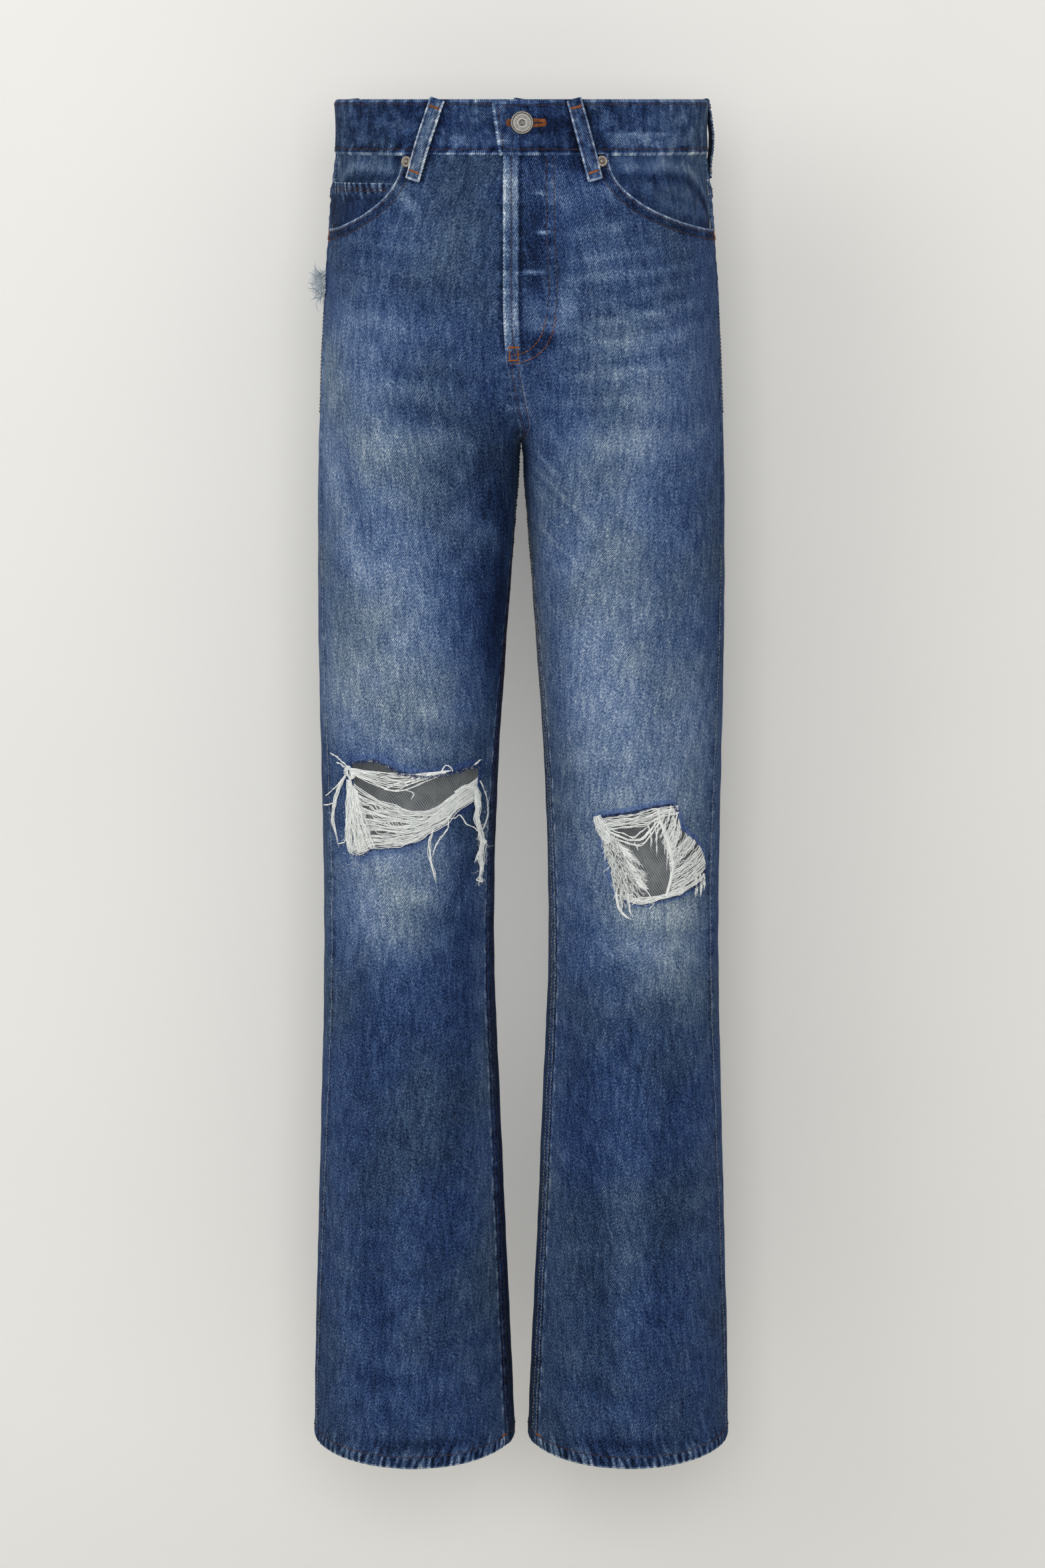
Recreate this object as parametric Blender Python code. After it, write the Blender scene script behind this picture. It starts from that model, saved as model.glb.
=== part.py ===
"""Ripped straight-leg jeans, hollow and filled out as if worn, held at the waist.

Metres, +Z up. The front faces -Y and the wearer's left is +X. The origin is the
middle of the waist, level with the top of the waistband.

Every cloth piece is a thin wall over one shared skin. The skin is a ring of four
curves at each height: one ring round the body above the crotch, one round each leg
below it. A place on it is (side, s, z): s is the distance round the ring, from the
middle of the front on the body and from the innermost point on a leg.
"""
import math

import bpy
import numpy as np
from mathutils import Matrix, Vector

# ---- driving dimensions -------------------------------------------------------
HALF_GAP = 0.00015          # each piece stops this far short of a seam
CLOTH = 0.0014              # denim wall
TRIM_CLOTH = 0.0012         # pockets, facings and placket
ON_TOP = 0.0003             # gap under what lies on a panel
BEHIND = -0.0021            # outer face of what lies behind a flat stretch of panel
FACING_BEHIND = (-0.0019, -0.0034)   # the pocket facings, at the waistband and lower down
COIN_BEHIND = -0.0004

BAND_HEIGHT = 0.042
BAND_WALL = 0.0032
BAND_PROUD = 0.0010         # the waistband stands out from the panels below it
BAND_STEP = 0.0035          # how far the overlapping end rides over the other
OVERLAP_TOP = -0.0225       # slanted end of the overlap, x at the top edge
OVERLAP_FOOT = -0.0165      # and at the bottom edge
OVERLAP_RAMP = (0.0230, 0.0330)   # where the overlap comes down onto the skin
OVERLAP_LENGTH = 0.0455     # the band's short columns, from its end
BAND_EVEN_SHARES = (0.075, 0.985)    # and its even ones, as shares of its length
UNDERLAP_END = 0.021

CROTCH_Z = -0.2762
CROTCH_Y = -0.010
RISE_TOP_Z = -0.150         # the centre seams start to curve under here
HEM_Z = -1.137              # at the side seams
HEM_DROP = 0.0045           # the hem hangs this much lower in front and behind
HEM_HEIGHT = 0.0145
HEM_WALL = 0.0028
HEM_STEP = 0.001            # height over which the wall thickens into the hem
HANG_MIDDLE_Y = 0.005       # the hem's drop grows with the square of the distance from here
HANG_REACH_Y = 0.078
HANG_HEIGHT = 0.120         # and fades out this far above the hem

FLY_SHIFT = 0.0135          # the centre front sits this far to the wearer's right at the waist
FLY_STRAIGHT_Z = -0.160
FLY_CENTRED_Z = -0.262
PLACKET_WIDTH = 0.040
PLACKET_TUCK = 0.010
PLACKET_FOOT_Z = -0.204

MOUTH_START = 0.0825        # pocket mouth, from the centre front at the waistband
MOUTH_DEPTH = 0.0615
FACING_TUCK = 0.012
COIN_TURNS = (2, 6)         # steps round the mouth between which the coin pocket lies
MOUTH_GAP = 0.0006

YOKE_SIDE_Z = -0.078
YOKE_CENTRE_Z = -0.108
BACK_POCKET_CENTRE = 0.100  # from the side seam
POCKET_LIFT = 0.0006        # gap under a back pocket, whose facets bridge the panel's
BACK_POCKET_WIDTH = 0.135
BACK_POCKET_TOP_Z = -0.128
BACK_POCKET_DEPTH = 0.150
BACK_POCKET_POINT = 0.022
BACK_POCKET_TAPER = 0.14    # share of the width lost towards the foot

LOOP_WIDTH = 0.0115
LOOP_WALL = 0.0018
LOOP_TOP_Z = 0.001
LOOP_FOOT_Z = -0.0622

BUTTON_AT = (0.0005, -0.0175)
BUTTON_RADIUS = 0.00925
BUTTON_SEGMENTS = 28
RIVET_RADIUS = 0.0046
RIVET_SEGMENTS = 20
RIVET_SEAT = 0.0005         # a rivet's flat foot clears the curve of the panel by this

THREADS_OUTER = -0.0002     # outer face of the threads' reach, from the skin
THREADS_WALL = 0.0010
THREADS_CLEAR = 0.008       # gap at each end, as a share of the rip's width
THREADS_FOOT = 0.984        # and where they end, as a share of its depth

FRAY_Z = -0.147
FRAY_FROM_EDGE = 0.016      # in front of the outermost point
FRAY_HALF_SIZE = (0.009, 0.011)
FRAY_REACH = 0.008
FRAY_WALL = 0.0006

# ---- the skin's sections ------------------------------------------------------
# One row for each height. in_x is the innermost point of a leg's ring: above the crotch
# the two rings cross the middle, where the cloth bridges the valley between them over
# the bridge width. The seams are distances forward of the outermost and innermost
# points, and squareness is how far the inner quarters swell towards their corners.
SECTION_COLUMNS = ("z", "out_x", "side_y", "front_x", "front_y", "back_x", "back_y",
                   "in_x", "in_y", "bridge", "squareness", "out_seam", "in_seam")
SECTIONS = (
    (0.000, 0.1510, 0.006, 0.0400, -0.0740, 0.0350, 0.0800, -0.1000, -0.010, 0.0400, 0.60, 0.010, 0.000),
    (-0.042, 0.1512, 0.006, 0.0420, -0.0770, 0.0400, 0.0840, -0.1000, -0.010, 0.0420, 0.60, 0.010, 0.000),
    (-0.080, 0.1560, 0.008, 0.0480, -0.0830, 0.0500, 0.0950, -0.0920, -0.010, 0.0460, 0.60, 0.011, 0.000),
    (-0.120, 0.1595, 0.010, 0.0550, -0.0900, 0.0600, 0.1080, -0.0780, -0.010, 0.0450, 0.62, 0.014, 0.000),
    (-0.160, 0.1625, 0.012, 0.0640, -0.0950, 0.0680, 0.1185, -0.0580, -0.010, 0.0400, 0.66, 0.018, 0.000),
    (-0.200, 0.1642, 0.012, 0.0730, -0.0980, 0.0740, 0.1240, -0.0340, -0.010, 0.0320, 0.71, 0.023, 0.000),
    (-0.240, 0.1657, 0.011, 0.0800, -0.0985, 0.0790, 0.1240, -0.0120, -0.010, 0.0180, 0.75, 0.027, 0.000),
    (CROTCH_Z, 0.1675, 0.009, 0.0840, -0.0970, 0.0830, 0.1190, 0.0000, CROTCH_Y, 0.0004, 0.77, 0.029, 0.000),
    (-0.310, 0.1683, 0.007, 0.0855, -0.0950, 0.0855, 0.1130, 0.0026, -0.009, 0.0000, 0.77, 0.030, 0.012),
    (-0.360, 0.1690, 0.005, 0.0870, -0.0915, 0.0870, 0.1050, 0.0062, -0.007, 0.0000, 0.73, 0.031, 0.020),
    (-0.440, 0.1692, 0.003, 0.0905, -0.0860, 0.0905, 0.0950, 0.0122, -0.004, 0.0000, 0.66, 0.033, 0.024),
    (-0.540, 0.1678, 0.002, 0.0930, -0.0790, 0.0930, 0.0850, 0.0188, -0.001, 0.0000, 0.60, 0.035, 0.026),
    (-0.640, 0.1665, 0.002, 0.0945, -0.0730, 0.0945, 0.0770, 0.0225, 0.001, 0.0000, 0.57, 0.036, 0.027),
    (-0.720, 0.1670, 0.003, 0.0945, -0.0705, 0.0945, 0.0750, 0.0228, 0.003, 0.0000, 0.56, 0.034, 0.028),
    (-0.840, 0.1706, 0.004, 0.0940, -0.0695, 0.0940, 0.0760, 0.0183, 0.004, 0.0000, 0.56, 0.030, 0.029),
    (-0.960, 0.1745, 0.005, 0.0935, -0.0705, 0.0935, 0.0785, 0.0133, 0.005, 0.0000, 0.56, 0.025, 0.029),
    (-1.080, 0.1782, 0.005, 0.0928, -0.0725, 0.0928, 0.0810, 0.0077, 0.005, 0.0000, 0.56, 0.020, 0.030),
    (HEM_Z, 0.1790, 0.005, 0.0922, -0.0735, 0.0922, 0.0820, 0.0055, 0.005, 0.0000, 0.56, 0.018, 0.030),
)
ROUNDNESS = 0.56            # length of the outer quarters' handles; 0.55 is an ellipse

# ---- the two knee rips: x and z seen from the front ---------------------------
# "shed" is how far the loose white threads reach down from the top edge.
RIP_COLUMNS = ("x", "top_z", "shed_z", "bottom_z")
RIPS = {
    "right": ((0.0370, -0.5330, -0.5480, -0.5660),
              (0.0620, -0.5415, -0.5590, -0.5850),
              (0.0860, -0.5405, -0.5735, -0.6040),
              (0.1120, -0.5300, -0.5640, -0.6080),
              (0.1370, -0.5290, -0.5545, -0.6125)),
    "left": ((0.0615, -0.5785, -0.5930, -0.6570),
             (0.0780, -0.5760, -0.5990, -0.6560),
             (0.0940, -0.5735, -0.6050, -0.6535),
             (0.1090, -0.5705, -0.6000, -0.6500),
             (0.1245, -0.5680, -0.5860, -0.6450)),
}
RIP_LEAN = {"right": 0.000, "left": 0.026}   # how far the foot of the hole is shifted outwards

# ---- grids --------------------------------------------------------------------
BODY_ROWS = 3
RISE_ROWS = 7
LEG_ROWS = 14
MOUTH_ROWS = 8
FRONT_COLUMNS = 13
BACK_COLUMNS = 12
YOKE_COLUMNS = 10
FACING_ROWS = 5
FACING_COLUMNS = 8
POCKET_ROWS = 8
POCKET_COLUMNS = 10
LOOP_ROWS = 8
FRAY_CELLS = 4
BAND_COLUMNS = 45
RING_SAMPLES = 256          # points kept on each ring
CURVE_SAMPLES = 161         # points worked out on each of its curves
LEVEL_STEP = 0.003          # between the heights at which rings are worked out
NORMAL_STEP = 0.003         # distance over which the skin's slope is measured


def smoothstep(low, high, value):
    t = np.clip((value - low) / (high - low), 0.0, 1.0)
    return t * t * (3.0 - 2.0 * t)


# ---- the skin -----------------------------------------------------------------
TABLE = np.array(SECTIONS)[::-1]
SLOPES = np.gradient(TABLE, TABLE[:, 0], axis=0)


def section(z):
    """All columns of the section table at one height, on smooth curves through its rows."""
    z = min(max(z, TABLE[0, 0]), TABLE[-1, 0])
    row = min(int(np.searchsorted(TABLE[:, 0], z, side="right")) - 1, len(TABLE) - 2)
    step = TABLE[row + 1, 0] - TABLE[row, 0]
    t = (z - TABLE[row, 0]) / step
    values = ((2 * t**3 - 3 * t**2 + 1) * TABLE[row]
              + (t**3 - 2 * t**2 + t) * step * SLOPES[row]
              + (3 * t**2 - 2 * t**3) * TABLE[row + 1]
              + (t**3 - t**2) * step * SLOPES[row + 1])
    return dict(zip(SECTION_COLUMNS, values))


def curve(start, start_way, start_reach, end, end_way, end_reach):
    """Points of one cubic curve that leaves along start_way and arrives along end_way."""
    start, end = np.array(start), np.array(end)
    near = start + np.array(start_way) * start_reach
    far = end - np.array(end_way) * end_reach
    t = np.linspace(0.0, 1.0, CURVE_SAMPLES)[:, None]
    return (1 - t)**3 * start + 3 * (1 - t)**2 * t * near + 3 * (1 - t) * t**2 * far + t**3 * end


def inner_quarter(row, edge_x, edge_y):
    """From the middle, or a leg's innermost point, to the foremost or rearmost point."""
    corner = (row["in_x"], row["in_y"])
    way = math.copysign(1.0, edge_y - corner[1])
    swell = row["squareness"]
    points = curve(corner, (0, way), swell * abs(edge_y - corner[1]),
                   (edge_x, edge_y), (1, 0), swell * (edge_x - corner[0]))
    bridge = row["bridge"]
    if row["z"] > CROTCH_Z and bridge > 0:
        near, at, far = np.interp((0.9 * bridge, bridge, 1.1 * bridge), *points.T)
        slope = (far - near) / (0.2 * bridge)
        x = np.linspace(0.0, bridge, 17)[:-1]
        valley = np.stack((x, at - slope * (bridge - x * x / bridge) / 2), axis=1)
        points = np.concatenate((valley, points[points[:, 0] > bridge]))
    points[:, 0] = np.maximum(points[:, 0], HALF_GAP)
    return points


def half_ring(z):
    """Half a body ring, or one whole leg ring: evenly spaced points, and its length."""
    row = section(z)
    front = (row["front_x"], row["front_y"])
    side = (row["out_x"], row["side_y"])
    back = (row["back_x"], row["back_y"])
    k = ROUNDNESS
    parts = (
        inner_quarter(row, *front),
        curve(front, (1, 0), k * (side[0] - front[0]), side, (0, 1), k * (side[1] - front[1])),
        curve(side, (0, 1), k * (back[1] - side[1]), back, (-1, 0), k * (side[0] - back[0])),
        inner_quarter(row, *back)[::-1],
    )
    points = np.concatenate(parts)
    along = np.concatenate(([0.0], np.cumsum(np.hypot(*np.diff(points, axis=0).T))))
    outermost = along[len(parts[0]) + len(parts[1]) - 1]
    even = np.linspace(0.0, along[-1], RING_SAMPLES)
    ring = np.stack([np.interp(even, along, points[:, axis]) for axis in (0, 1)], axis=1)
    return ring, along[-1], outermost


def ring_levels():
    """Heights at which the skin is worked out, close together just above the crotch."""
    turn = np.linspace(0.0, math.pi / 2, 60)
    rise = RISE_TOP_Z + (CROTCH_Z - RISE_TOP_Z) * np.sin(turn)
    return np.unique(np.round(np.concatenate((np.arange(HEM_Z, 0.0, LEVEL_STEP), rise, [0.0])), 7))


LEVELS = ring_levels()
HALF_RINGS = [half_ring(level) for level in LEVELS]
RINGS = np.stack([entry[0] for entry in HALF_RINGS])
LENGTHS = np.array([entry[1] for entry in HALF_RINGS])
OUTERMOST = np.array([entry[2] for entry in HALF_RINGS])


def ring_length(z):
    return np.interp(z, LEVELS, LENGTHS)


def skin(side, s, z):
    """Points of the skin; s may run past the ends of a half ring, over the middle."""
    s, z = np.broadcast_arrays(np.asarray(s, float), np.asarray(z, float))
    level = np.clip(z, LEVELS[0], LEVELS[-1])
    low = np.clip(np.searchsorted(LEVELS, level, side="right") - 1, 0, len(LEVELS) - 2)
    up = (level - LEVELS[low]) / (LEVELS[low + 1] - LEVELS[low])
    length = ring_length(level)
    body = level > CROTCH_Z
    s = np.mod(s, np.where(body, 2 * length, length))
    across = body & (s > length)
    s = np.where(across, 2 * length - s, s)
    place = np.clip(s / length, 0.0, 1.0) * (RING_SAMPLES - 1)
    left = np.clip(place.astype(int), 0, RING_SAMPLES - 2)
    right = (place - left)[..., None]
    lower = RINGS[low, left] * (1 - right) + RINGS[low, left + 1] * right
    upper = RINGS[low + 1, left] * (1 - right) + RINGS[low + 1, left + 1] * right
    xy = lower * (1 - up[..., None]) + upper * up[..., None]
    x = side * np.where(across, -xy[..., 0], xy[..., 0])
    hang = ((xy[..., 1] - HANG_MIDDLE_Y) / HANG_REACH_Y)**2
    hang *= 1.0 - smoothstep(HEM_Z, HEM_Z + HANG_HEIGHT, level)
    return np.stack((x, xy[..., 1], z - HEM_DROP * hang), axis=-1)


def skin_normals(side, s, z):
    """Outward directions of the skin."""
    step = NORMAL_STEP
    z = np.broadcast_to(z, np.broadcast_shapes(np.shape(s), np.shape(z)))
    body = z > CROTCH_Z
    round_way = skin(side, s + step, z) - skin(side, s - step, z)
    up_way = skin(side, s, np.where(body, z + step, z)) - skin(side, s, np.where(body, z, z - step))
    up_way = np.where((z > -step)[..., None], np.array((0.0, 0.0, step)), up_way)
    normal = np.cross(round_way, up_way) * side
    return normal / np.linalg.norm(normal, axis=-1, keepdims=True)


def fly_shift(z):
    t = np.clip((FLY_STRAIGHT_Z - np.asarray(z)) / (FLY_STRAIGHT_Z - FLY_CENTRED_Z), 0.0, 1.0)
    return FLY_SHIFT * (1.0 - t * t)


def front_start(side, z):
    """Where a front panel starts: the centre front on the body, the inseam on a leg."""
    if z > CROTCH_Z:
        return -side * float(fly_shift(z))
    return float(section(z)["in_seam"])


def side_seam(z):
    return float(np.interp(z, LEVELS, OUTERMOST) - section(z)["out_seam"])


def back_end(z):
    """Where a back panel ends: the centre back on the body, the inseam on a leg."""
    return float(ring_length(z) + (0.0 if z > CROTCH_Z else section(z)["in_seam"]))


def round_at_x(x, z):
    """How far round the front of a ring a given distance from the middle is."""
    s = np.linspace(0.0, float(np.interp(z, LEVELS, OUTERMOST)), 200)
    return float(np.interp(x, skin(1, s, z)[:, 0], s))


# ---- making solids ------------------------------------------------------------
def make_material(name, colour, roughness, metallic=0.0):
    material = bpy.data.materials.new(name)
    material.use_nodes = True
    shader = material.node_tree.nodes["Principled BSDF"]
    shader.inputs["Base Color"].default_value = (*colour, 1.0)
    shader.inputs["Roughness"].default_value = roughness
    shader.inputs["Metallic"].default_value = metallic
    return material


def make_object(name, points, faces, look):
    mesh = bpy.data.meshes.new(name)
    mesh.from_pydata([tuple(point) for point in points], [], faces)
    mesh.materials.append(make_material(name, *look))
    mesh.shade_smooth()
    mesh.set_sharp_from_angle(angle=math.radians(40))
    made = bpy.data.objects.new(name, mesh)
    bpy.context.collection.objects.link(made)
    return made


def make_wall(name, side, s, z, outer, inner, look, open_cells=()):
    """A closed wall over a grid of skin points: rows run down, columns run round.

    outer and inner say how far its faces are moved out from the skin, and
    open_cells lists the cells (row, column) that are left out.
    """
    s, z = np.broadcast_arrays(s, z)
    base = skin(side, s, z)
    normals = skin_normals(side, s, z)
    outer = np.broadcast_to(outer, s.shape)[..., None]
    inner = np.broadcast_to(inner, s.shape)[..., None]
    faces_out = (base + normals * outer).reshape(-1, 3)
    faces_in = (base + normals * inner).reshape(-1, 3)
    rows, columns = s.shape
    quads = []
    for row in range(rows - 1):
        for col in range(columns - 1):
            if (row, col) in open_cells:
                continue
            corner = row * columns + col
            quad = (corner, corner + columns, corner + columns + 1, corner + 1)
            quads.append(quad if side > 0 else quad[::-1])
    edges = {(quad[k], quad[(k + 1) % 4]) for quad in quads for k in range(4)}
    behind = rows * columns
    faces = list(quads)
    faces += [tuple(corner + behind for corner in reversed(quad)) for quad in quads]
    faces += [(b, a, a + behind, b + behind) for a, b in sorted(edges) if (b, a) not in edges]
    used = sorted({corner for face in faces for corner in face})
    renumber = {corner: index for index, corner in enumerate(used)}
    points = np.concatenate((faces_out, faces_in))[used]
    return make_object(name, points, [tuple(renumber[c] for c in face) for face in faces], look)


def make_turned(name, profile, segments, look):
    """A solid of revolution round +Z, from (radius, height) pairs, both ends on the axis."""
    angles = [2 * math.pi * k / segments for k in range(segments)]
    points = [(0.0, 0.0, profile[0][1])]
    for radius, height in profile[1:-1]:
        points += [(radius * math.cos(a), radius * math.sin(a), height) for a in angles]
    points.append((0.0, 0.0, profile[-1][1]))
    faces = []
    for k in range(segments):
        after = (k + 1) % segments
        faces.append((0, 1 + after, 1 + k))
        for ring in range(len(profile) - 3):
            low, high = 1 + ring * segments, 1 + (ring + 1) * segments
            faces.append((low + k, low + after, high + after, high + k))
        top = 1 + (len(profile) - 3) * segments
        faces.append((top + k, top + after, len(points) - 1))
    return make_object(name, points, faces, look)


def set_on_skin(piece, side, s, z, height):
    """Place a turned piece with its axis out of the skin."""
    normal = Vector(skin_normals(side, np.array(s), np.array(z)))
    place = Vector(skin(side, np.array(s), np.array(z))) + normal * height
    piece.matrix_world = Matrix.Translation(place) @ normal.to_track_quat("Z", "Y").to_matrix().to_4x4()


# ---- colours ------------------------------------------------------------------
DENIM = ((0.075, 0.125, 0.235), 0.90)
DENIM_PALE = ((0.115, 0.180, 0.300), 0.90)
DENIM_DARK = ((0.050, 0.085, 0.165), 0.90)
BAND_BLUE = ((0.060, 0.100, 0.190), 0.90)
THREAD_WHITE = ((0.640, 0.690, 0.690), 0.95)
NICKEL = ((0.560, 0.540, 0.500), 0.35, 1.0)
COPPER = ((0.520, 0.440, 0.380), 0.40, 1.0)


# ---- panels -------------------------------------------------------------------
def leg_rows():
    levels = list(np.linspace(CROTCH_Z, HEM_Z + HEM_HEIGHT, LEG_ROWS + 1)[1:])
    return levels + [HEM_Z + HEM_HEIGHT - HEM_STEP, HEM_Z]


def rise_rows():
    turn = np.linspace(0.0, math.pi / 2, RISE_ROWS + 1)
    return list(RISE_TOP_Z + (CROTCH_Z - RISE_TOP_Z) * np.sin(turn))


def body_rows():
    return list(np.linspace(-BAND_HEIGHT - MOUTH_DEPTH, RISE_TOP_Z, BODY_ROWS + 1)[1:])


def panel_thickness(z):
    """Denim, and the turned-up hem at the foot."""
    return np.where(z < HEM_Z + HEM_HEIGHT - HEM_STEP / 2, -HEM_WALL, -CLOTH)


def mouth_turns():
    return np.linspace(0.0, math.pi / 2, MOUTH_ROWS + 1)


def mouth(side, turn):
    """The pocket mouth as a quarter ellipse; turn is 0 at the waistband, pi/2 at the seam."""
    z = -BAND_HEIGHT - MOUTH_DEPTH * math.sin(turn)
    start = MOUTH_START + front_start(side, z)
    return start + (side_seam(z) - start) * (1.0 - math.cos(turn)), z


def rip_edges(name, share):
    """All columns of a rip's table at a share of its width."""
    columns = np.array(RIPS[name]).T
    x = columns[0, 0] + (columns[0, -1] - columns[0, 0]) * share
    return {label: float(np.interp(x, columns[0], values))
            for label, values in zip(RIP_COLUMNS, columns)}


def rip_point(name, share, down):
    """(s, z) of a place in a rip: share of its width, and of its depth from the top edge."""
    edges = rip_edges(name, share)
    z = edges["top_z"] + (edges["bottom_z"] - edges["top_z"]) * down
    return round_at_x(edges["x"] + RIP_LEAN[name] * down, z), z


def fit_to_rip(name, s, z):
    """Move a front panel's grid points onto the rip's outline; returns the open cells."""
    last_column = s.shape[1] - 1
    middle_edges = [rip_edges(name, share) for share in (0.0, 0.5, 1.0)]
    top_row = int(np.argmin(abs(z[:, 0] - np.mean([edge["top_z"] for edge in middle_edges]))))
    foot_row = int(np.argmin(abs(z[:, 0] - np.mean([edge["bottom_z"] for edge in middle_edges]))))
    foot_row = max(foot_row, top_row + 2)
    middle = (top_row + foot_row) // 2
    first, last = [int(np.argmin(abs(s[middle] - rip_point(name, share, 0.5)[0]))) for share in (0, 1)]
    for row in range(top_row - 1, foot_row + 2):
        down = min(max((row - top_row) / (foot_row - top_row), 0.0), 1.0)
        in_rows = top_row <= row <= foot_row
        weight = 1.0 if in_rows else 0.5
        for col in range(last_column + 1):
            share = min(max((col - first) / (last - first), 0.0), 1.0)
            target_s, target_z = rip_point(name, share, down)
            if col < first:
                target_s = s[row, 0] + (target_s - s[row, 0]) * col / first
            if col > last:
                spread = (col - last) / (last_column - last)
                target_s += (s[row, -1] - target_s) * spread
            s[row, col] += (target_s - s[row, col]) * weight
            if in_rows and max(first - 1, 1) <= col <= last + 1:
                pull = 1.0 if first <= col <= last else 0.5
                z[row, col] += (target_z - z[row, col]) * pull
    return {(row, col) for row in range(top_row, foot_row) for col in range(first, last)}


def front_panel(name, side):
    """Front of one leg up to the waistband, with the pocket mouth cut out and a knee rip."""
    cuts = [mouth(side, turn) for turn in mouth_turns()]
    below = body_rows() + rise_rows()[1:] + leg_rows()
    heights = [z for _, z in cuts] + below
    heights[0] -= 2 * HALF_GAP
    ends = [s for s, _ in cuts] + [side_seam(z) for z in below]
    starts = [front_start(side, z) for z in heights]
    share = np.linspace(0.0, 1.0, FRONT_COLUMNS + 1)
    s = np.array([a + HALF_GAP + (b - a - 2 * HALF_GAP) * share for a, b in zip(starts, ends)])
    z = np.repeat(np.array(heights)[:, None], FRONT_COLUMNS + 1, axis=1)
    hole = fit_to_rip(name, s, z)
    make_wall("front_" + name, side, s, z, 0.0, panel_thickness(z), DENIM, hole)


def back_row(z, share):
    """Places from the side seam to a back panel's other seam, at shares of the way."""
    start = side_seam(z) + HALF_GAP
    return start + (back_end(z) - HALF_GAP - start) * share


def yoke_line(share):
    """The slanting seam between yoke and back panel."""
    return YOKE_SIDE_Z + (YOKE_CENTRE_Z - YOKE_SIDE_Z) * share


def back_panel(name, side):
    """Back of one leg up to the yoke."""
    share = np.linspace(0.0, 1.0, BACK_COLUMNS + 1)
    levels = body_rows() + rise_rows()[1:] + leg_rows()
    seam = yoke_line(share) - HALF_GAP
    z = np.array([seam] + [np.full(share.shape, level) for level in levels])
    s = np.array([[back_row(v, k) for v, k in zip(line, share)] for line in z])
    make_wall("back_" + name, side, s, z, 0.0, panel_thickness(z), DENIM)


def yoke(name, side):
    """Sloping piece between the back panel and the waistband."""
    share = np.linspace(0.0, 1.0, YOKE_COLUMNS + 1)
    top = np.full(share.shape, -BAND_HEIGHT - 2 * HALF_GAP)
    foot = yoke_line(share) + HALF_GAP
    z = np.array([top, (top + foot) / 2, foot])
    s = np.array([[back_row(v, k) for v, k in zip(line, share)] for line in z])
    make_wall("yoke_" + name, side, s, z, 0.0, -CLOTH, DENIM_PALE)


def pocket_facing(name, side):
    """The denim seen inside the pocket mouth, behind the front panel."""
    rows = []
    foot = -BAND_HEIGHT - MOUTH_DEPTH - FACING_TUCK
    heights = np.linspace(-BAND_HEIGHT - 2 * HALF_GAP, foot, FACING_ROWS + 1)
    for z in heights:
        start = MOUTH_START + front_start(side, z) - FACING_TUCK
        rows.append(np.linspace(start, side_seam(z) - HALF_GAP, FACING_COLUMNS + 1))
    fall = np.linspace(0.0, 2.0, FACING_ROWS + 1).clip(0.0, 1.0)
    outer = FACING_BEHIND[0] + (FACING_BEHIND[1] - FACING_BEHIND[0]) * fall[:, None]
    make_wall("pocket_facing_" + name, side, np.array(rows), heights[:, None],
              outer, outer - TRIM_CLOTH, DENIM_DARK)


def coin_pocket():
    """Small pocket on the wearer's right facing; the front panel's mouth covers its foot."""
    side = -1
    rows = []
    heights = []
    for turn in mouth_turns()[COIN_TURNS[0]:COIN_TURNS[1] + 1]:
        s, z = mouth(side, turn)
        rows.append(np.linspace(s + MOUTH_GAP, side_seam(z) - MOUTH_GAP, FACING_COLUMNS))
        heights.append(z)
    make_wall("coin_pocket", side, np.array(rows), np.array(heights)[:, None],
              COIN_BEHIND, COIN_BEHIND - TRIM_CLOTH, DENIM_DARK)


def fly_placket():
    """Strip behind the centre front that carries the fly buttons."""
    heights = np.linspace(-BAND_HEIGHT - 2 * HALF_GAP, PLACKET_FOOT_Z, 7)
    across = np.linspace(-PLACKET_TUCK, PLACKET_WIDTH, 6)
    make_wall("fly_placket", 1, across - fly_shift(heights)[:, None], heights[:, None],
              BEHIND, BEHIND - TRIM_CLOTH, DENIM_DARK)


def back_pocket(name, side):
    """Plain patch pocket with a shallow point, on the back panel below the yoke."""
    across = np.linspace(-0.5, 0.5, POCKET_COLUMNS + 1)
    down = np.linspace(0.0, 1.0, POCKET_ROWS + 1)
    width = BACK_POCKET_WIDTH * (1.0 - BACK_POCKET_TAPER * down[:, None])
    depth = BACK_POCKET_DEPTH - BACK_POCKET_POINT * 2 * np.abs(across)[None, :]
    z = BACK_POCKET_TOP_Z - depth * down[:, None]
    seam = np.array([[side_seam(v) for v in row] for row in z])
    s = seam + BACK_POCKET_CENTRE + across[None, :] * width
    make_wall("back_pocket_" + name, side, s, z, POCKET_LIFT + TRIM_CLOTH, POCKET_LIFT, DENIM)


def waistband():
    """One strip round the waist, whose left end rides over the right end at the front."""
    full = 2 * ring_length(0.0)
    overlap = np.linspace(0.0, OVERLAP_LENGTH, 6) / full
    share = np.concatenate((overlap, np.linspace(*BAND_EVEN_SHARES, BAND_COLUMNS), (1.0,)))
    z = np.array((0.0, -BAND_HEIGHT / 2, -BAND_HEIGHT))
    start = np.linspace(OVERLAP_TOP, OVERLAP_FOOT, 3)
    rows = []
    for height, begin in zip(z, start):
        length = 2 * float(ring_length(height))
        rows.append(begin + (length + UNDERLAP_END - begin) * share)
    s = np.array(rows)
    ride = BAND_STEP * (1.0 - smoothstep(*OVERLAP_RAMP, s))
    make_wall("waistband", 1, s, z[:, None], BAND_PROUD + ride, BAND_PROUD + ride - BAND_WALL, BAND_BLUE)


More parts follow.
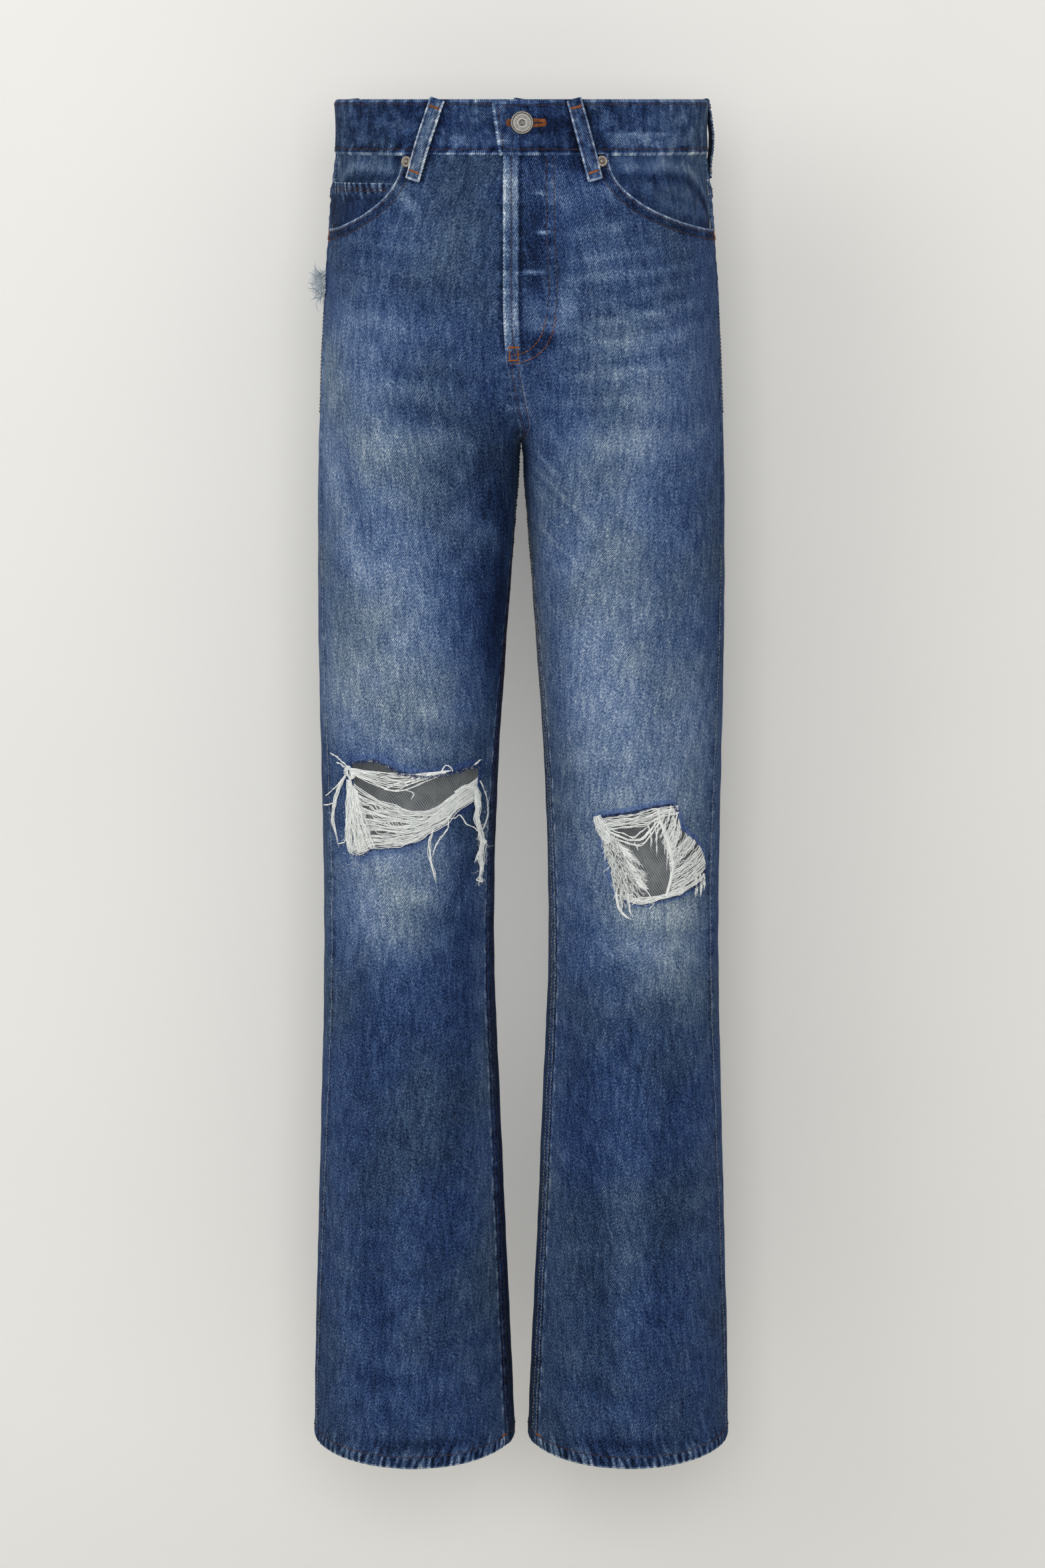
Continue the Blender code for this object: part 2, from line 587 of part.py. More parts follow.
# ---- belt loops ---------------------------------------------------------------
# top and foot are distances round from the middle of the front, and slack is how much
# further than LOOP_BOW the strap stands off.
LOOP_COLUMNS = ("name", "side", "top", "foot", "slack")
WAIST_OUTERMOST = float(np.interp(0.0, LEVELS, OUTERMOST))
LOOPS = (
    ("belt_loop_front_right", -1, 0.0665, 0.0870, 1.0),
    ("belt_loop_front_left", 1, 0.0418, 0.0588, 1.0),
    ("belt_loop_side_left", 1, WAIST_OUTERMOST + 0.010, WAIST_OUTERMOST + 0.014, 1.6),
    ("belt_loop_side_right", -1, WAIST_OUTERMOST + 0.040, WAIST_OUTERMOST + 0.044, 1.4),
    ("belt_loop_back", 1, float(ring_length(0.0)), float(ring_length(LOOP_FOOT_Z)), 1.3),
)
# How far a loop stands off the skin, at shares of the way down.
LOOP_BOW_SHARES = (0.0, 0.2, 0.45, 0.65, 0.84, 1.0)
LOOP_BOW = (0.0014, 0.0028, 0.0040, 0.0036, 0.0018, 0.0008)


def belt_loop(name, side, top, foot, slack):
    """A strap from over the top of the waistband to the panel below, bowed out for the belt."""
    down = np.linspace(0.0, 1.0, LOOP_ROWS + 1)[:, None]
    across = np.linspace(-0.5, 0.5, 3)[None, :]
    drop = LOOP_TOP_Z - LOOP_FOOT_Z
    run = math.hypot(foot - top, drop)
    s = top + (foot - top) * down + across * LOOP_WIDTH * drop / run
    z = LOOP_TOP_Z - drop * down + across * LOOP_WIDTH * (foot - top) / run
    bow = np.interp(down, LOOP_BOW_SHARES, LOOP_BOW)
    bow = bow[-1] + (bow - bow[-1]) * (1.0 + (slack - 1.0) * np.sin(math.pi * down))
    make_wall(name, side, s, z, bow + LOOP_WALL, bow, DENIM_PALE)


# ---- metal --------------------------------------------------------------------
def button():
    """Domed shank button with a raised rim and a hollow middle."""
    r = BUTTON_RADIUS
    profile = ((0, 0), (0.45 * r, 0), (0.45 * r, 0.0014), (0.89 * r, 0.0015), (r, 0.0024),
               (0.96 * r, 0.0033), (0.84 * r, 0.0036), (0.73 * r, 0.0030), (0.32 * r, 0.0030),
               (0, 0.0033))
    piece = make_turned("button", profile, BUTTON_SEGMENTS, NICKEL)
    set_on_skin(piece, 1, *BUTTON_AT, BAND_PROUD + BAND_STEP + ON_TOP)


RIVET_COLUMNS = ("name", "side", "s", "z")
RIVETS = (
    ("right", -1, 0.0922, -0.0480),
    ("left", 1, 0.0640, -0.0475),
)


def rivet(name, side, s, z):
    """Copper burr with a small raised middle, at a pocket mouth's corner."""
    r = RIVET_RADIUS
    profile = ((0, 0), (r, 0), (r, 0.0005), (0.80 * r, 0.0010), (0.45 * r, 0.0011),
               (0.30 * r, 0.0016), (0, 0.0018))
    piece = make_turned("rivet_" + name, profile, RIVET_SEGMENTS, COPPER)
    set_on_skin(piece, side, s, z, RIVET_SEAT)


# ---- loose threads ------------------------------------------------------------
def rip_threads(name, side, columns, rows, below_shed, open_cells=()):
    """The white threads left in a rip, as a thin plate that fills their reach.

    below_shed says that they start at the table's shed line, not at the top edge.
    """
    width = np.linspace(THREADS_CLEAR, 1.0 - THREADS_CLEAR, columns + 1)
    s = np.zeros((rows + 1, columns + 1))
    z = np.zeros((rows + 1, columns + 1))
    for col, share in enumerate(width):
        edges = rip_edges(name, share)
        shed = (edges["shed_z"] - edges["top_z"]) / (edges["bottom_z"] - edges["top_z"])
        start = (shed if below_shed else 0.0) + 1.0 - THREADS_FOOT
        for row, down in enumerate(np.linspace(start, THREADS_FOOT, rows + 1)):
            s[row, col], z[row, col] = rip_point(name, share, down)
    make_wall("rip_threads_" + name, side, s, z, THREADS_OUTER, THREADS_OUTER - THREADS_WALL,
              THREAD_WHITE, open_cells)


def hip_fray():
    """Small burst of loose threads at the wearer's right hip."""
    across, up = [half * np.linspace(-1.0, 1.0, FRAY_CELLS + 1) for half in FRAY_HALF_SIZE]
    middle = float(np.interp(FRAY_Z, LEVELS, OUTERMOST)) - FRAY_FROM_EDGE
    swell = np.sin(np.linspace(0.0, math.pi, FRAY_CELLS + 1))
    reach = FRAY_WALL + FRAY_REACH * np.outer(swell, swell)
    make_wall("hip_fray", -1, middle + across[None, :], FRAY_Z - up[:, None],
              ON_TOP + reach, ON_TOP, THREAD_WHITE)


def build():
    for old in list(bpy.data.objects):
        bpy.data.objects.remove(old)
    for name, side in (("left", 1), ("right", -1)):
        front_panel(name, side)
        back_panel(name, side)
        yoke(name, side)
        pocket_facing(name, side)
        back_pocket(name, side)
    waistband()
    coin_pocket()
    fly_placket()
    for row in LOOPS:
        belt_loop(**dict(zip(LOOP_COLUMNS, row)))
    button()
    for row in RIVETS:
        rivet(**dict(zip(RIVET_COLUMNS, row)))
    rip_threads("right", -1, columns=8, rows=2, below_shed=True)
    gap_in_the_middle = {(row, col) for row in (1, 2) for col in (2, 3)}
    rip_threads("left", 1, columns=6, rows=4, below_shed=False, open_cells=gap_in_the_middle)
    hip_fray()


build()
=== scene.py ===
"""Looks of the ripped jeans: fine cloth shells over the frame's skin, stitches and threads.

Metres, in the frame's own axes: +Z up, the front faces -Y, the wearer's left is +X.
Every cloth piece lies on one skin, and a place on it is (side, s, z): s is the distance
round the ring, from the middle of the front on the body and from the innermost point
on a leg.
"""
import math
from functools import partial

import bpy
import numpy as np
from mathutils import Matrix, Vector


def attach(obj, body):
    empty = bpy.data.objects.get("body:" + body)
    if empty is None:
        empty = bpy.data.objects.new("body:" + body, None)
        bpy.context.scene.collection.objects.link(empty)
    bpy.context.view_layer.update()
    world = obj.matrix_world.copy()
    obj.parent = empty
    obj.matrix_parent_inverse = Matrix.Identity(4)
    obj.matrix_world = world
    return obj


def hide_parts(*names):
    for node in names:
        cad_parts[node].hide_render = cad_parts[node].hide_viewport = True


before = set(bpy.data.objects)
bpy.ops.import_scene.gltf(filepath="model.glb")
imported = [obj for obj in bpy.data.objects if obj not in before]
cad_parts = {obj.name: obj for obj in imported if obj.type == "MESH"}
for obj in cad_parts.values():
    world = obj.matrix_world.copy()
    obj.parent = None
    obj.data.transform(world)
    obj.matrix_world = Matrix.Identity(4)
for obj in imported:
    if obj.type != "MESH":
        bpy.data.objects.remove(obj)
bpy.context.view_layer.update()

rng = np.random.default_rng(7)


# ---- the garment's dimensions, as in the frame ---------------------------------
CLOTH = 0.0014
TRIM_CLOTH = 0.0012
BAND_HEIGHT = 0.042
BAND_WALL = 0.0032
BAND_PROUD = 0.0010
BAND_STEP = 0.0035
OVERLAP_TOP = -0.0225
OVERLAP_FOOT = -0.0165
OVERLAP_RAMP = (0.0230, 0.0330)
UNDERLAP_END = 0.021
CROTCH_Z = -0.2762
CROTCH_Y = -0.010
RISE_TOP_Z = -0.150
HEM_Z = -1.137
HEM_DROP = 0.0045
HEM_HEIGHT = 0.0145
HEM_WALL = 0.0028
HANG_MIDDLE_Y = 0.005
HANG_REACH_Y = 0.078
HANG_HEIGHT = 0.120
FLY_SHIFT = 0.0135
FLY_STRAIGHT_Z = -0.160
FLY_CENTRED_Z = -0.262
FLY_FOOT_Z = -0.198
PLACKET_WIDTH = 0.040
PLACKET_FOOT_Z = -0.204
MOUTH_START = 0.0825
MOUTH_DEPTH = 0.0615
FACING_TUCK = 0.012
FACING_BEHIND = (-0.0019, -0.0034)
YOKE_SIDE_Z = -0.078
YOKE_CENTRE_Z = -0.108
BACK_POCKET_CENTRE = 0.100
POCKET_LIFT = 0.0006
BACK_POCKET_WIDTH = 0.135
BACK_POCKET_TOP_Z = -0.128
BACK_POCKET_DEPTH = 0.150
BACK_POCKET_POINT = 0.022
BACK_POCKET_TAPER = 0.14
LOOP_WIDTH = 0.0115
LOOP_WALL = 0.0018
LOOP_TOP_Z = 0.001
LOOP_FOOT_Z = -0.0622
BUTTON_AT = (0.0005, -0.0175)
BUTTON_RADIUS = 0.00925
RIVET_RADIUS = 0.0046
FRAY_Z = -0.147
FRAY_FROM_EDGE = 0.016

SECTION_COLUMNS = ("z", "out_x", "side_y", "front_x", "front_y", "back_x", "back_y",
                   "in_x", "in_y", "bridge", "squareness", "out_seam", "in_seam")
SECTIONS = (
    (0.000, 0.1510, 0.006, 0.0400, -0.0740, 0.0350, 0.0800, -0.1000, -0.010, 0.0400, 0.60, 0.010, 0.000),
    (-0.042, 0.1512, 0.006, 0.0420, -0.0770, 0.0400, 0.0840, -0.1000, -0.010, 0.0420, 0.60, 0.010, 0.000),
    (-0.080, 0.1560, 0.008, 0.0480, -0.0830, 0.0500, 0.0950, -0.0920, -0.010, 0.0460, 0.60, 0.011, 0.000),
    (-0.120, 0.1595, 0.010, 0.0550, -0.0900, 0.0600, 0.1080, -0.0780, -0.010, 0.0450, 0.62, 0.014, 0.000),
    (-0.160, 0.1625, 0.012, 0.0640, -0.0950, 0.0680, 0.1185, -0.0580, -0.010, 0.0400, 0.66, 0.018, 0.000),
    (-0.200, 0.1642, 0.012, 0.0730, -0.0980, 0.0740, 0.1240, -0.0340, -0.010, 0.0320, 0.71, 0.023, 0.000),
    (-0.240, 0.1657, 0.011, 0.0800, -0.0985, 0.0790, 0.1240, -0.0120, -0.010, 0.0180, 0.75, 0.027, 0.000),
    (CROTCH_Z, 0.1675, 0.009, 0.0840, -0.0970, 0.0830, 0.1190, 0.0000, CROTCH_Y, 0.0004, 0.77, 0.029, 0.000),
    (-0.310, 0.1683, 0.007, 0.0855, -0.0950, 0.0855, 0.1130, 0.0026, -0.009, 0.0000, 0.77, 0.030, 0.012),
    (-0.360, 0.1690, 0.005, 0.0870, -0.0915, 0.0870, 0.1050, 0.0062, -0.007, 0.0000, 0.73, 0.031, 0.020),
    (-0.440, 0.1692, 0.003, 0.0905, -0.0860, 0.0905, 0.0950, 0.0122, -0.004, 0.0000, 0.66, 0.033, 0.024),
    (-0.540, 0.1678, 0.002, 0.0930, -0.0790, 0.0930, 0.0850, 0.0188, -0.001, 0.0000, 0.60, 0.035, 0.026),
    (-0.640, 0.1665, 0.002, 0.0945, -0.0730, 0.0945, 0.0770, 0.0225, 0.001, 0.0000, 0.57, 0.036, 0.027),
    (-0.720, 0.1670, 0.003, 0.0945, -0.0705, 0.0945, 0.0750, 0.0228, 0.003, 0.0000, 0.56, 0.034, 0.028),
    (-0.840, 0.1706, 0.004, 0.0940, -0.0695, 0.0940, 0.0760, 0.0183, 0.004, 0.0000, 0.56, 0.030, 0.029),
    (-0.960, 0.1745, 0.005, 0.0935, -0.0705, 0.0935, 0.0785, 0.0133, 0.005, 0.0000, 0.56, 0.025, 0.029),
    (-1.080, 0.1782, 0.005, 0.0928, -0.0725, 0.0928, 0.0810, 0.0077, 0.005, 0.0000, 0.56, 0.020, 0.030),
    (HEM_Z, 0.1790, 0.005, 0.0922, -0.0735, 0.0922, 0.0820, 0.0055, 0.005, 0.0000, 0.56, 0.018, 0.030),
)
ROUNDNESS = 0.56
HALF_GAP = 0.00015
CURVE_SAMPLES = 161
RING_SAMPLES = 320
LEVEL_STEP = 0.003
NORMAL_STEP = 0.003


# ---- camera, light and backdrop -------------------------------------------------
CAMERA_AT = (0.001, -3.1494, 0.0017)
CAMERA_DOWN = 10.2          # degrees
LENS = 87.47
WALL_Y = 0.230
FLOOR_Z = -1.50


def smoothstep(low, high, value):
    t = np.clip((value - low) / (high - low), 0.0, 1.0)
    return t * t * (3.0 - 2.0 * t)


def bell(value, middle, half_width):
    """A smooth hump, 1 at the middle and about 0 beyond twice its half width."""
    return np.exp(-((value - middle) / half_width) ** 2)


def step_down(low, high, value):
    """A smooth step from 1 down to 0 between low and high."""
    return 1.0 - smoothstep(low, high, value)


def close_to(gap, reach):
    """1 on an edge or past it, and about 0 beyond twice the reach."""
    return bell(np.maximum(gap, 0.0), 0.0, reach)


def hermite(t, step, first, first_slope, last, last_slope):
    """A smooth curve between two values with given slopes, t of the way along a step."""
    return ((2 * t**3 - 3 * t**2 + 1) * first + (t**3 - 2 * t**2 + t) * step * first_slope
            + (3 * t**2 - 2 * t**3) * last + (t**3 - t**2) * step * last_slope)


def pairs(s, z):
    """Places as rows of (s, z), from arrays or single numbers."""
    return np.stack(np.broadcast_arrays(s, z), axis=1)


def linear(red, green, blue):
    """Linear colour of an sRGB colour given as 0 to 255."""
    out = []
    for part in (red, green, blue):
        c = part / 255.0
        out.append(c / 12.92 if c <= 0.04045 else ((c + 0.055) / 1.055) ** 2.4)
    return (*out, 1.0)


# ---- the skin -------------------------------------------------------------------
TABLE = np.array(SECTIONS)[::-1]
SLOPES = np.gradient(TABLE, TABLE[:, 0], axis=0)


def section(z):
    """All columns of the section table at one height, on smooth curves through its rows."""
    z = min(max(z, TABLE[0, 0]), TABLE[-1, 0])
    row = min(int(np.searchsorted(TABLE[:, 0], z, side="right")) - 1, len(TABLE) - 2)
    step = TABLE[row + 1, 0] - TABLE[row, 0]
    values = hermite((z - TABLE[row, 0]) / step, step,
                     TABLE[row], SLOPES[row], TABLE[row + 1], SLOPES[row + 1])
    return dict(zip(SECTION_COLUMNS, values))


def curve(start, start_way, start_reach, end, end_way, end_reach):
    """Points of one cubic curve that leaves along start_way and arrives along end_way."""
    start, end = np.array(start), np.array(end)
    near = start + np.array(start_way) * start_reach
    far = end - np.array(end_way) * end_reach
    t = np.linspace(0.0, 1.0, CURVE_SAMPLES)[:, None]
    return (1 - t)**3 * start + 3 * (1 - t)**2 * t * near + 3 * (1 - t) * t**2 * far + t**3 * end


def inner_quarter(row, edge_x, edge_y):
    """From the middle, or a leg's innermost point, to the foremost or rearmost point."""
    corner = (row["in_x"], row["in_y"])
    way = math.copysign(1.0, edge_y - corner[1])
    swell = row["squareness"]
    points = curve(corner, (0, way), swell * abs(edge_y - corner[1]),
                   (edge_x, edge_y), (1, 0), swell * (edge_x - corner[0]))
    bridge = row["bridge"]
    if row["z"] > CROTCH_Z and bridge > 0:
        near, at, far = np.interp((0.9 * bridge, bridge, 1.1 * bridge), *points.T)
        slope = (far - near) / (0.2 * bridge)
        x = np.linspace(0.0, bridge, 17)[:-1]
        valley = np.stack((x, at - slope * (bridge - x * x / bridge) / 2), axis=1)
        points = np.concatenate((valley, points[points[:, 0] > bridge]))
    points[:, 0] = np.maximum(points[:, 0], HALF_GAP)
    return points


def half_ring(z):
    """Half a body ring, or one whole leg ring: evenly spaced points, and its length."""
    row = section(z)
    front = (row["front_x"], row["front_y"])
    side = (row["out_x"], row["side_y"])
    back = (row["back_x"], row["back_y"])
    k = ROUNDNESS
    parts = (
        inner_quarter(row, *front),
        curve(front, (1, 0), k * (side[0] - front[0]), side, (0, 1), k * (side[1] - front[1])),
        curve(side, (0, 1), k * (back[1] - side[1]), back, (-1, 0), k * (side[0] - back[0])),
        inner_quarter(row, *back)[::-1],
    )
    points = np.concatenate(parts)
    along = np.concatenate(([0.0], np.cumsum(np.hypot(*np.diff(points, axis=0).T))))
    outermost = along[len(parts[0]) + len(parts[1]) - 1]
    even = np.linspace(0.0, along[-1], RING_SAMPLES)
    ring = np.stack([np.interp(even, along, points[:, axis]) for axis in (0, 1)], axis=1)
    return ring, along[-1], outermost


def ring_levels():
    """Heights at which the skin is worked out, close together just above the crotch."""
    turn = np.linspace(0.0, math.pi / 2, 60)
    rise = RISE_TOP_Z + (CROTCH_Z - RISE_TOP_Z) * np.sin(turn)
    return np.unique(np.round(np.concatenate((np.arange(HEM_Z, 0.0, LEVEL_STEP), rise, [0.0])), 7))


LEVELS = ring_levels()
HALF_RINGS = [half_ring(level) for level in LEVELS]
RINGS = np.stack([entry[0] for entry in HALF_RINGS])
LENGTHS = np.array([entry[1] for entry in HALF_RINGS])
OUTERMOST = np.array([entry[2] for entry in HALF_RINGS])
OUT_SEAMS = OUTERMOST - np.array([section(level)["out_seam"] for level in LEVELS])
IN_SEAMS = np.array([section(level)["in_seam"] for level in LEVELS])


def ring_length(z):
    return np.interp(z, LEVELS, LENGTHS)


def outermost(z):
    return np.interp(z, LEVELS, OUTERMOST)


def skin(side, s, z):
    """Points of the skin; s may run past the ends of a half ring, over the middle."""
    s, z = np.broadcast_arrays(np.asarray(s, float), np.asarray(z, float))
    level = np.clip(z, LEVELS[0], LEVELS[-1])
    low = np.clip(np.searchsorted(LEVELS, level, side="right") - 1, 0, len(LEVELS) - 2)
    up = (level - LEVELS[low]) / (LEVELS[low + 1] - LEVELS[low])
    length = ring_length(level)
    body = level > CROTCH_Z
    s = np.mod(s, np.where(body, 2 * length, length))
    across = body & (s > length)
    s = np.where(across, 2 * length - s, s)
    place = np.clip(s / length, 0.0, 1.0) * (RING_SAMPLES - 1)
    left = np.clip(place.astype(int), 0, RING_SAMPLES - 2)
    right = (place - left)[..., None]
    lower = RINGS[low, left] * (1 - right) + RINGS[low, left + 1] * right
    upper = RINGS[low + 1, left] * (1 - right) + RINGS[low + 1, left + 1] * right
    xy = lower * (1 - up[..., None]) + upper * up[..., None]
    x = side * np.where(across, -xy[..., 0], xy[..., 0])
    hang = ((xy[..., 1] - HANG_MIDDLE_Y) / HANG_REACH_Y)**2
    hang *= step_down(HEM_Z, HEM_Z + HANG_HEIGHT, level)
    return np.stack((x, xy[..., 1], z - HEM_DROP * hang), axis=-1)


def skin_normals(side, s, z):
    """Outward directions of the skin."""
    step = NORMAL_STEP
    z = np.broadcast_to(z, np.broadcast_shapes(np.shape(s), np.shape(z)))
    body = z > CROTCH_Z
    round_way = skin(side, s + step, z) - skin(side, s - step, z)
    above, below = np.where(body, z + step, z), np.where(body, z, z - step)
    up_way = skin(side, s, above) - skin(side, s, below)
    up_way = np.where((z > -step)[..., None], np.array((0.0, 0.0, step)), up_way)
    normal = np.cross(round_way, up_way) * side
    return normal / np.linalg.norm(normal, axis=-1, keepdims=True)


def raised(side, s, z, height):
    """Points that stand a height off the skin, and the skin's directions there."""
    normals = skin_normals(side, s, z)
    return skin(side, s, z) + normals * height[..., None], normals


def fly_shift(z):
    t = np.clip((FLY_STRAIGHT_Z - np.asarray(z)) / (FLY_STRAIGHT_Z - FLY_CENTRED_Z), 0.0, 1.0)
    return FLY_SHIFT * (1.0 - t * t)


def front_start(side, z):
    """Where a front panel starts: the centre front on the body, the inseam on a leg."""
    return np.where(np.asarray(z) > CROTCH_Z, -side * fly_shift(z), np.interp(z, LEVELS, IN_SEAMS))


def side_seam(z):
    return np.interp(z, LEVELS, OUT_SEAMS)


def back_end(z):
    """Where a back panel ends: the centre back on the body, the inseam on a leg."""
    seam = np.where(np.asarray(z) > CROTCH_Z, 0.0, np.interp(z, LEVELS, IN_SEAMS))
    return ring_length(z) + seam


def round_at_x(x, z):
    """How far round the front of a ring a given distance from the middle is."""
    s = np.linspace(0.0, float(outermost(z)), 200)
    return float(np.interp(x, skin(1, s, z)[:, 0], s))


# ---- main creases, washes and painted light and shade ----------------------------
# A crease is a soft trough between two soft ridges. Each row has the x and z of its middle seen
# from the front (or from behind), half length, lean in degrees, half width and depth, which is
# negative for a ridge.
FRONT_CREASES = (
    # hip whiskers on the wearer's right front
    (-0.118, -0.106, 0.046, -4.0, 0.0034, 0.0005),
    (-0.104, -0.122, 0.054, -6.0, 0.0038, 0.0006),
    (-0.100, -0.142, 0.058, -8.0, 0.0042, 0.0007),
    (-0.092, -0.190, 0.056, -10.0, 0.0055, 0.0007),
    (-0.088, -0.214, 0.050, -6.0, 0.0060, 0.0008),
    (-0.084, -0.246, 0.048, -14.0, 0.0065, 0.0009),
    # and on the wearer's left, rising outwards
    (0.112, -0.112, 0.044, 10.0, 0.0030, 0.0006),
    (0.106, -0.130, 0.050, 12.0, 0.0034, 0.0008),
    (0.104, -0.146, 0.050, 12.0, 0.0036, 0.0007),
    (0.100, -0.163, 0.054, 13.0, 0.0038, 0.0009),
    (0.096, -0.184, 0.056, 14.0, 0.0042, 0.0009),
    (0.090, -0.206, 0.054, 12.0, 0.0048, 0.0008),
    (0.080, -0.236, 0.050, 10.0, 0.0060, 0.0008),
    # pulls from the crotch
    (0.031, -0.317, 0.036, -45.0, 0.0050, 0.0007),
    (0.033, -0.362, 0.032, -42.0, 0.0055, 0.0007),
    (-0.036, -0.300, 0.040, 44.0, 0.0060, 0.0008),
    (-0.045, -0.345, 0.040, 56.0, 0.0070, 0.0007),
    (-0.139, -0.318, 0.056, -73.0, 0.0065, 0.0009),
    # slack beside and under the knee tears
    (-0.060, -0.512, 0.040, -14.0, 0.0080, 0.0007),
    (-0.090, -0.632, 0.050, 9.0, 0.0090, 0.0007),
    (-0.070, -0.668, 0.046, -12.0, 0.0100, 0.0006),
    (0.060, -0.548, 0.040, 16.0, 0.0080, 0.0007),
    (0.105, -0.682, 0.052, -8.0, 0.0090, 0.0007),
    (0.085, -0.716, 0.046, 12.0, 0.0100, 0.0006),
    # long soft folds of the lower legs, and slack over the hems
    (-0.060, -0.900, 0.190, 86.0, 0.0140, 0.0010),
    (-0.122, -0.980, 0.150, -87.0, 0.0150, 0.0010),
    (0.058, -0.940, 0.180, -86.0, 0.0140, 0.0010),
    (0.126, -0.880, 0.170, 87.0, 0.0150, 0.0010),
    (-0.070, -1.086, 0.046, 18.0, 0.0075, 0.0009),
    (-0.118, -1.066, 0.040, -14.0, 0.0080, 0.0008),
    (0.072, -1.078, 0.044, -16.0, 0.0080, 0.0007),
)
BACK_CREASES = (
    # under the seat and behind the knees
    (-0.080, -0.262, 0.060, 12.0, 0.0080, 0.0022),
    (0.082, -0.266, 0.058, -10.0, 0.0080, 0.0020),
    (-0.058, -0.290, 0.052, 24.0, 0.0090, 0.0018),
    (0.060, -0.288, 0.050, -26.0, 0.0090, 0.0018),
    (-0.096, -0.545, 0.058, 12.0, 0.0070, 0.0020),
    (-0.082, -0.578, 0.060, -10.0, 0.0080, 0.0024),
    (-0.100, -0.612, 0.054, 14.0, 0.0075, 0.0018),
    (0.094, -0.552, 0.056, -13.0, 0.0070, 0.0020),
    (0.084, -0.588, 0.062, 9.0, 0.0080, 0.0024),
    (0.098, -0.620, 0.052, -12.0, 0.0075, 0.0018),
    (-0.100, -1.060, 0.050, 16.0, 0.0080, 0.0015),
    (0.092, -1.070, 0.052, -14.0, 0.0080, 0.0015),
)
CREASES = {"front": FRONT_CREASES, "back": BACK_CREASES}
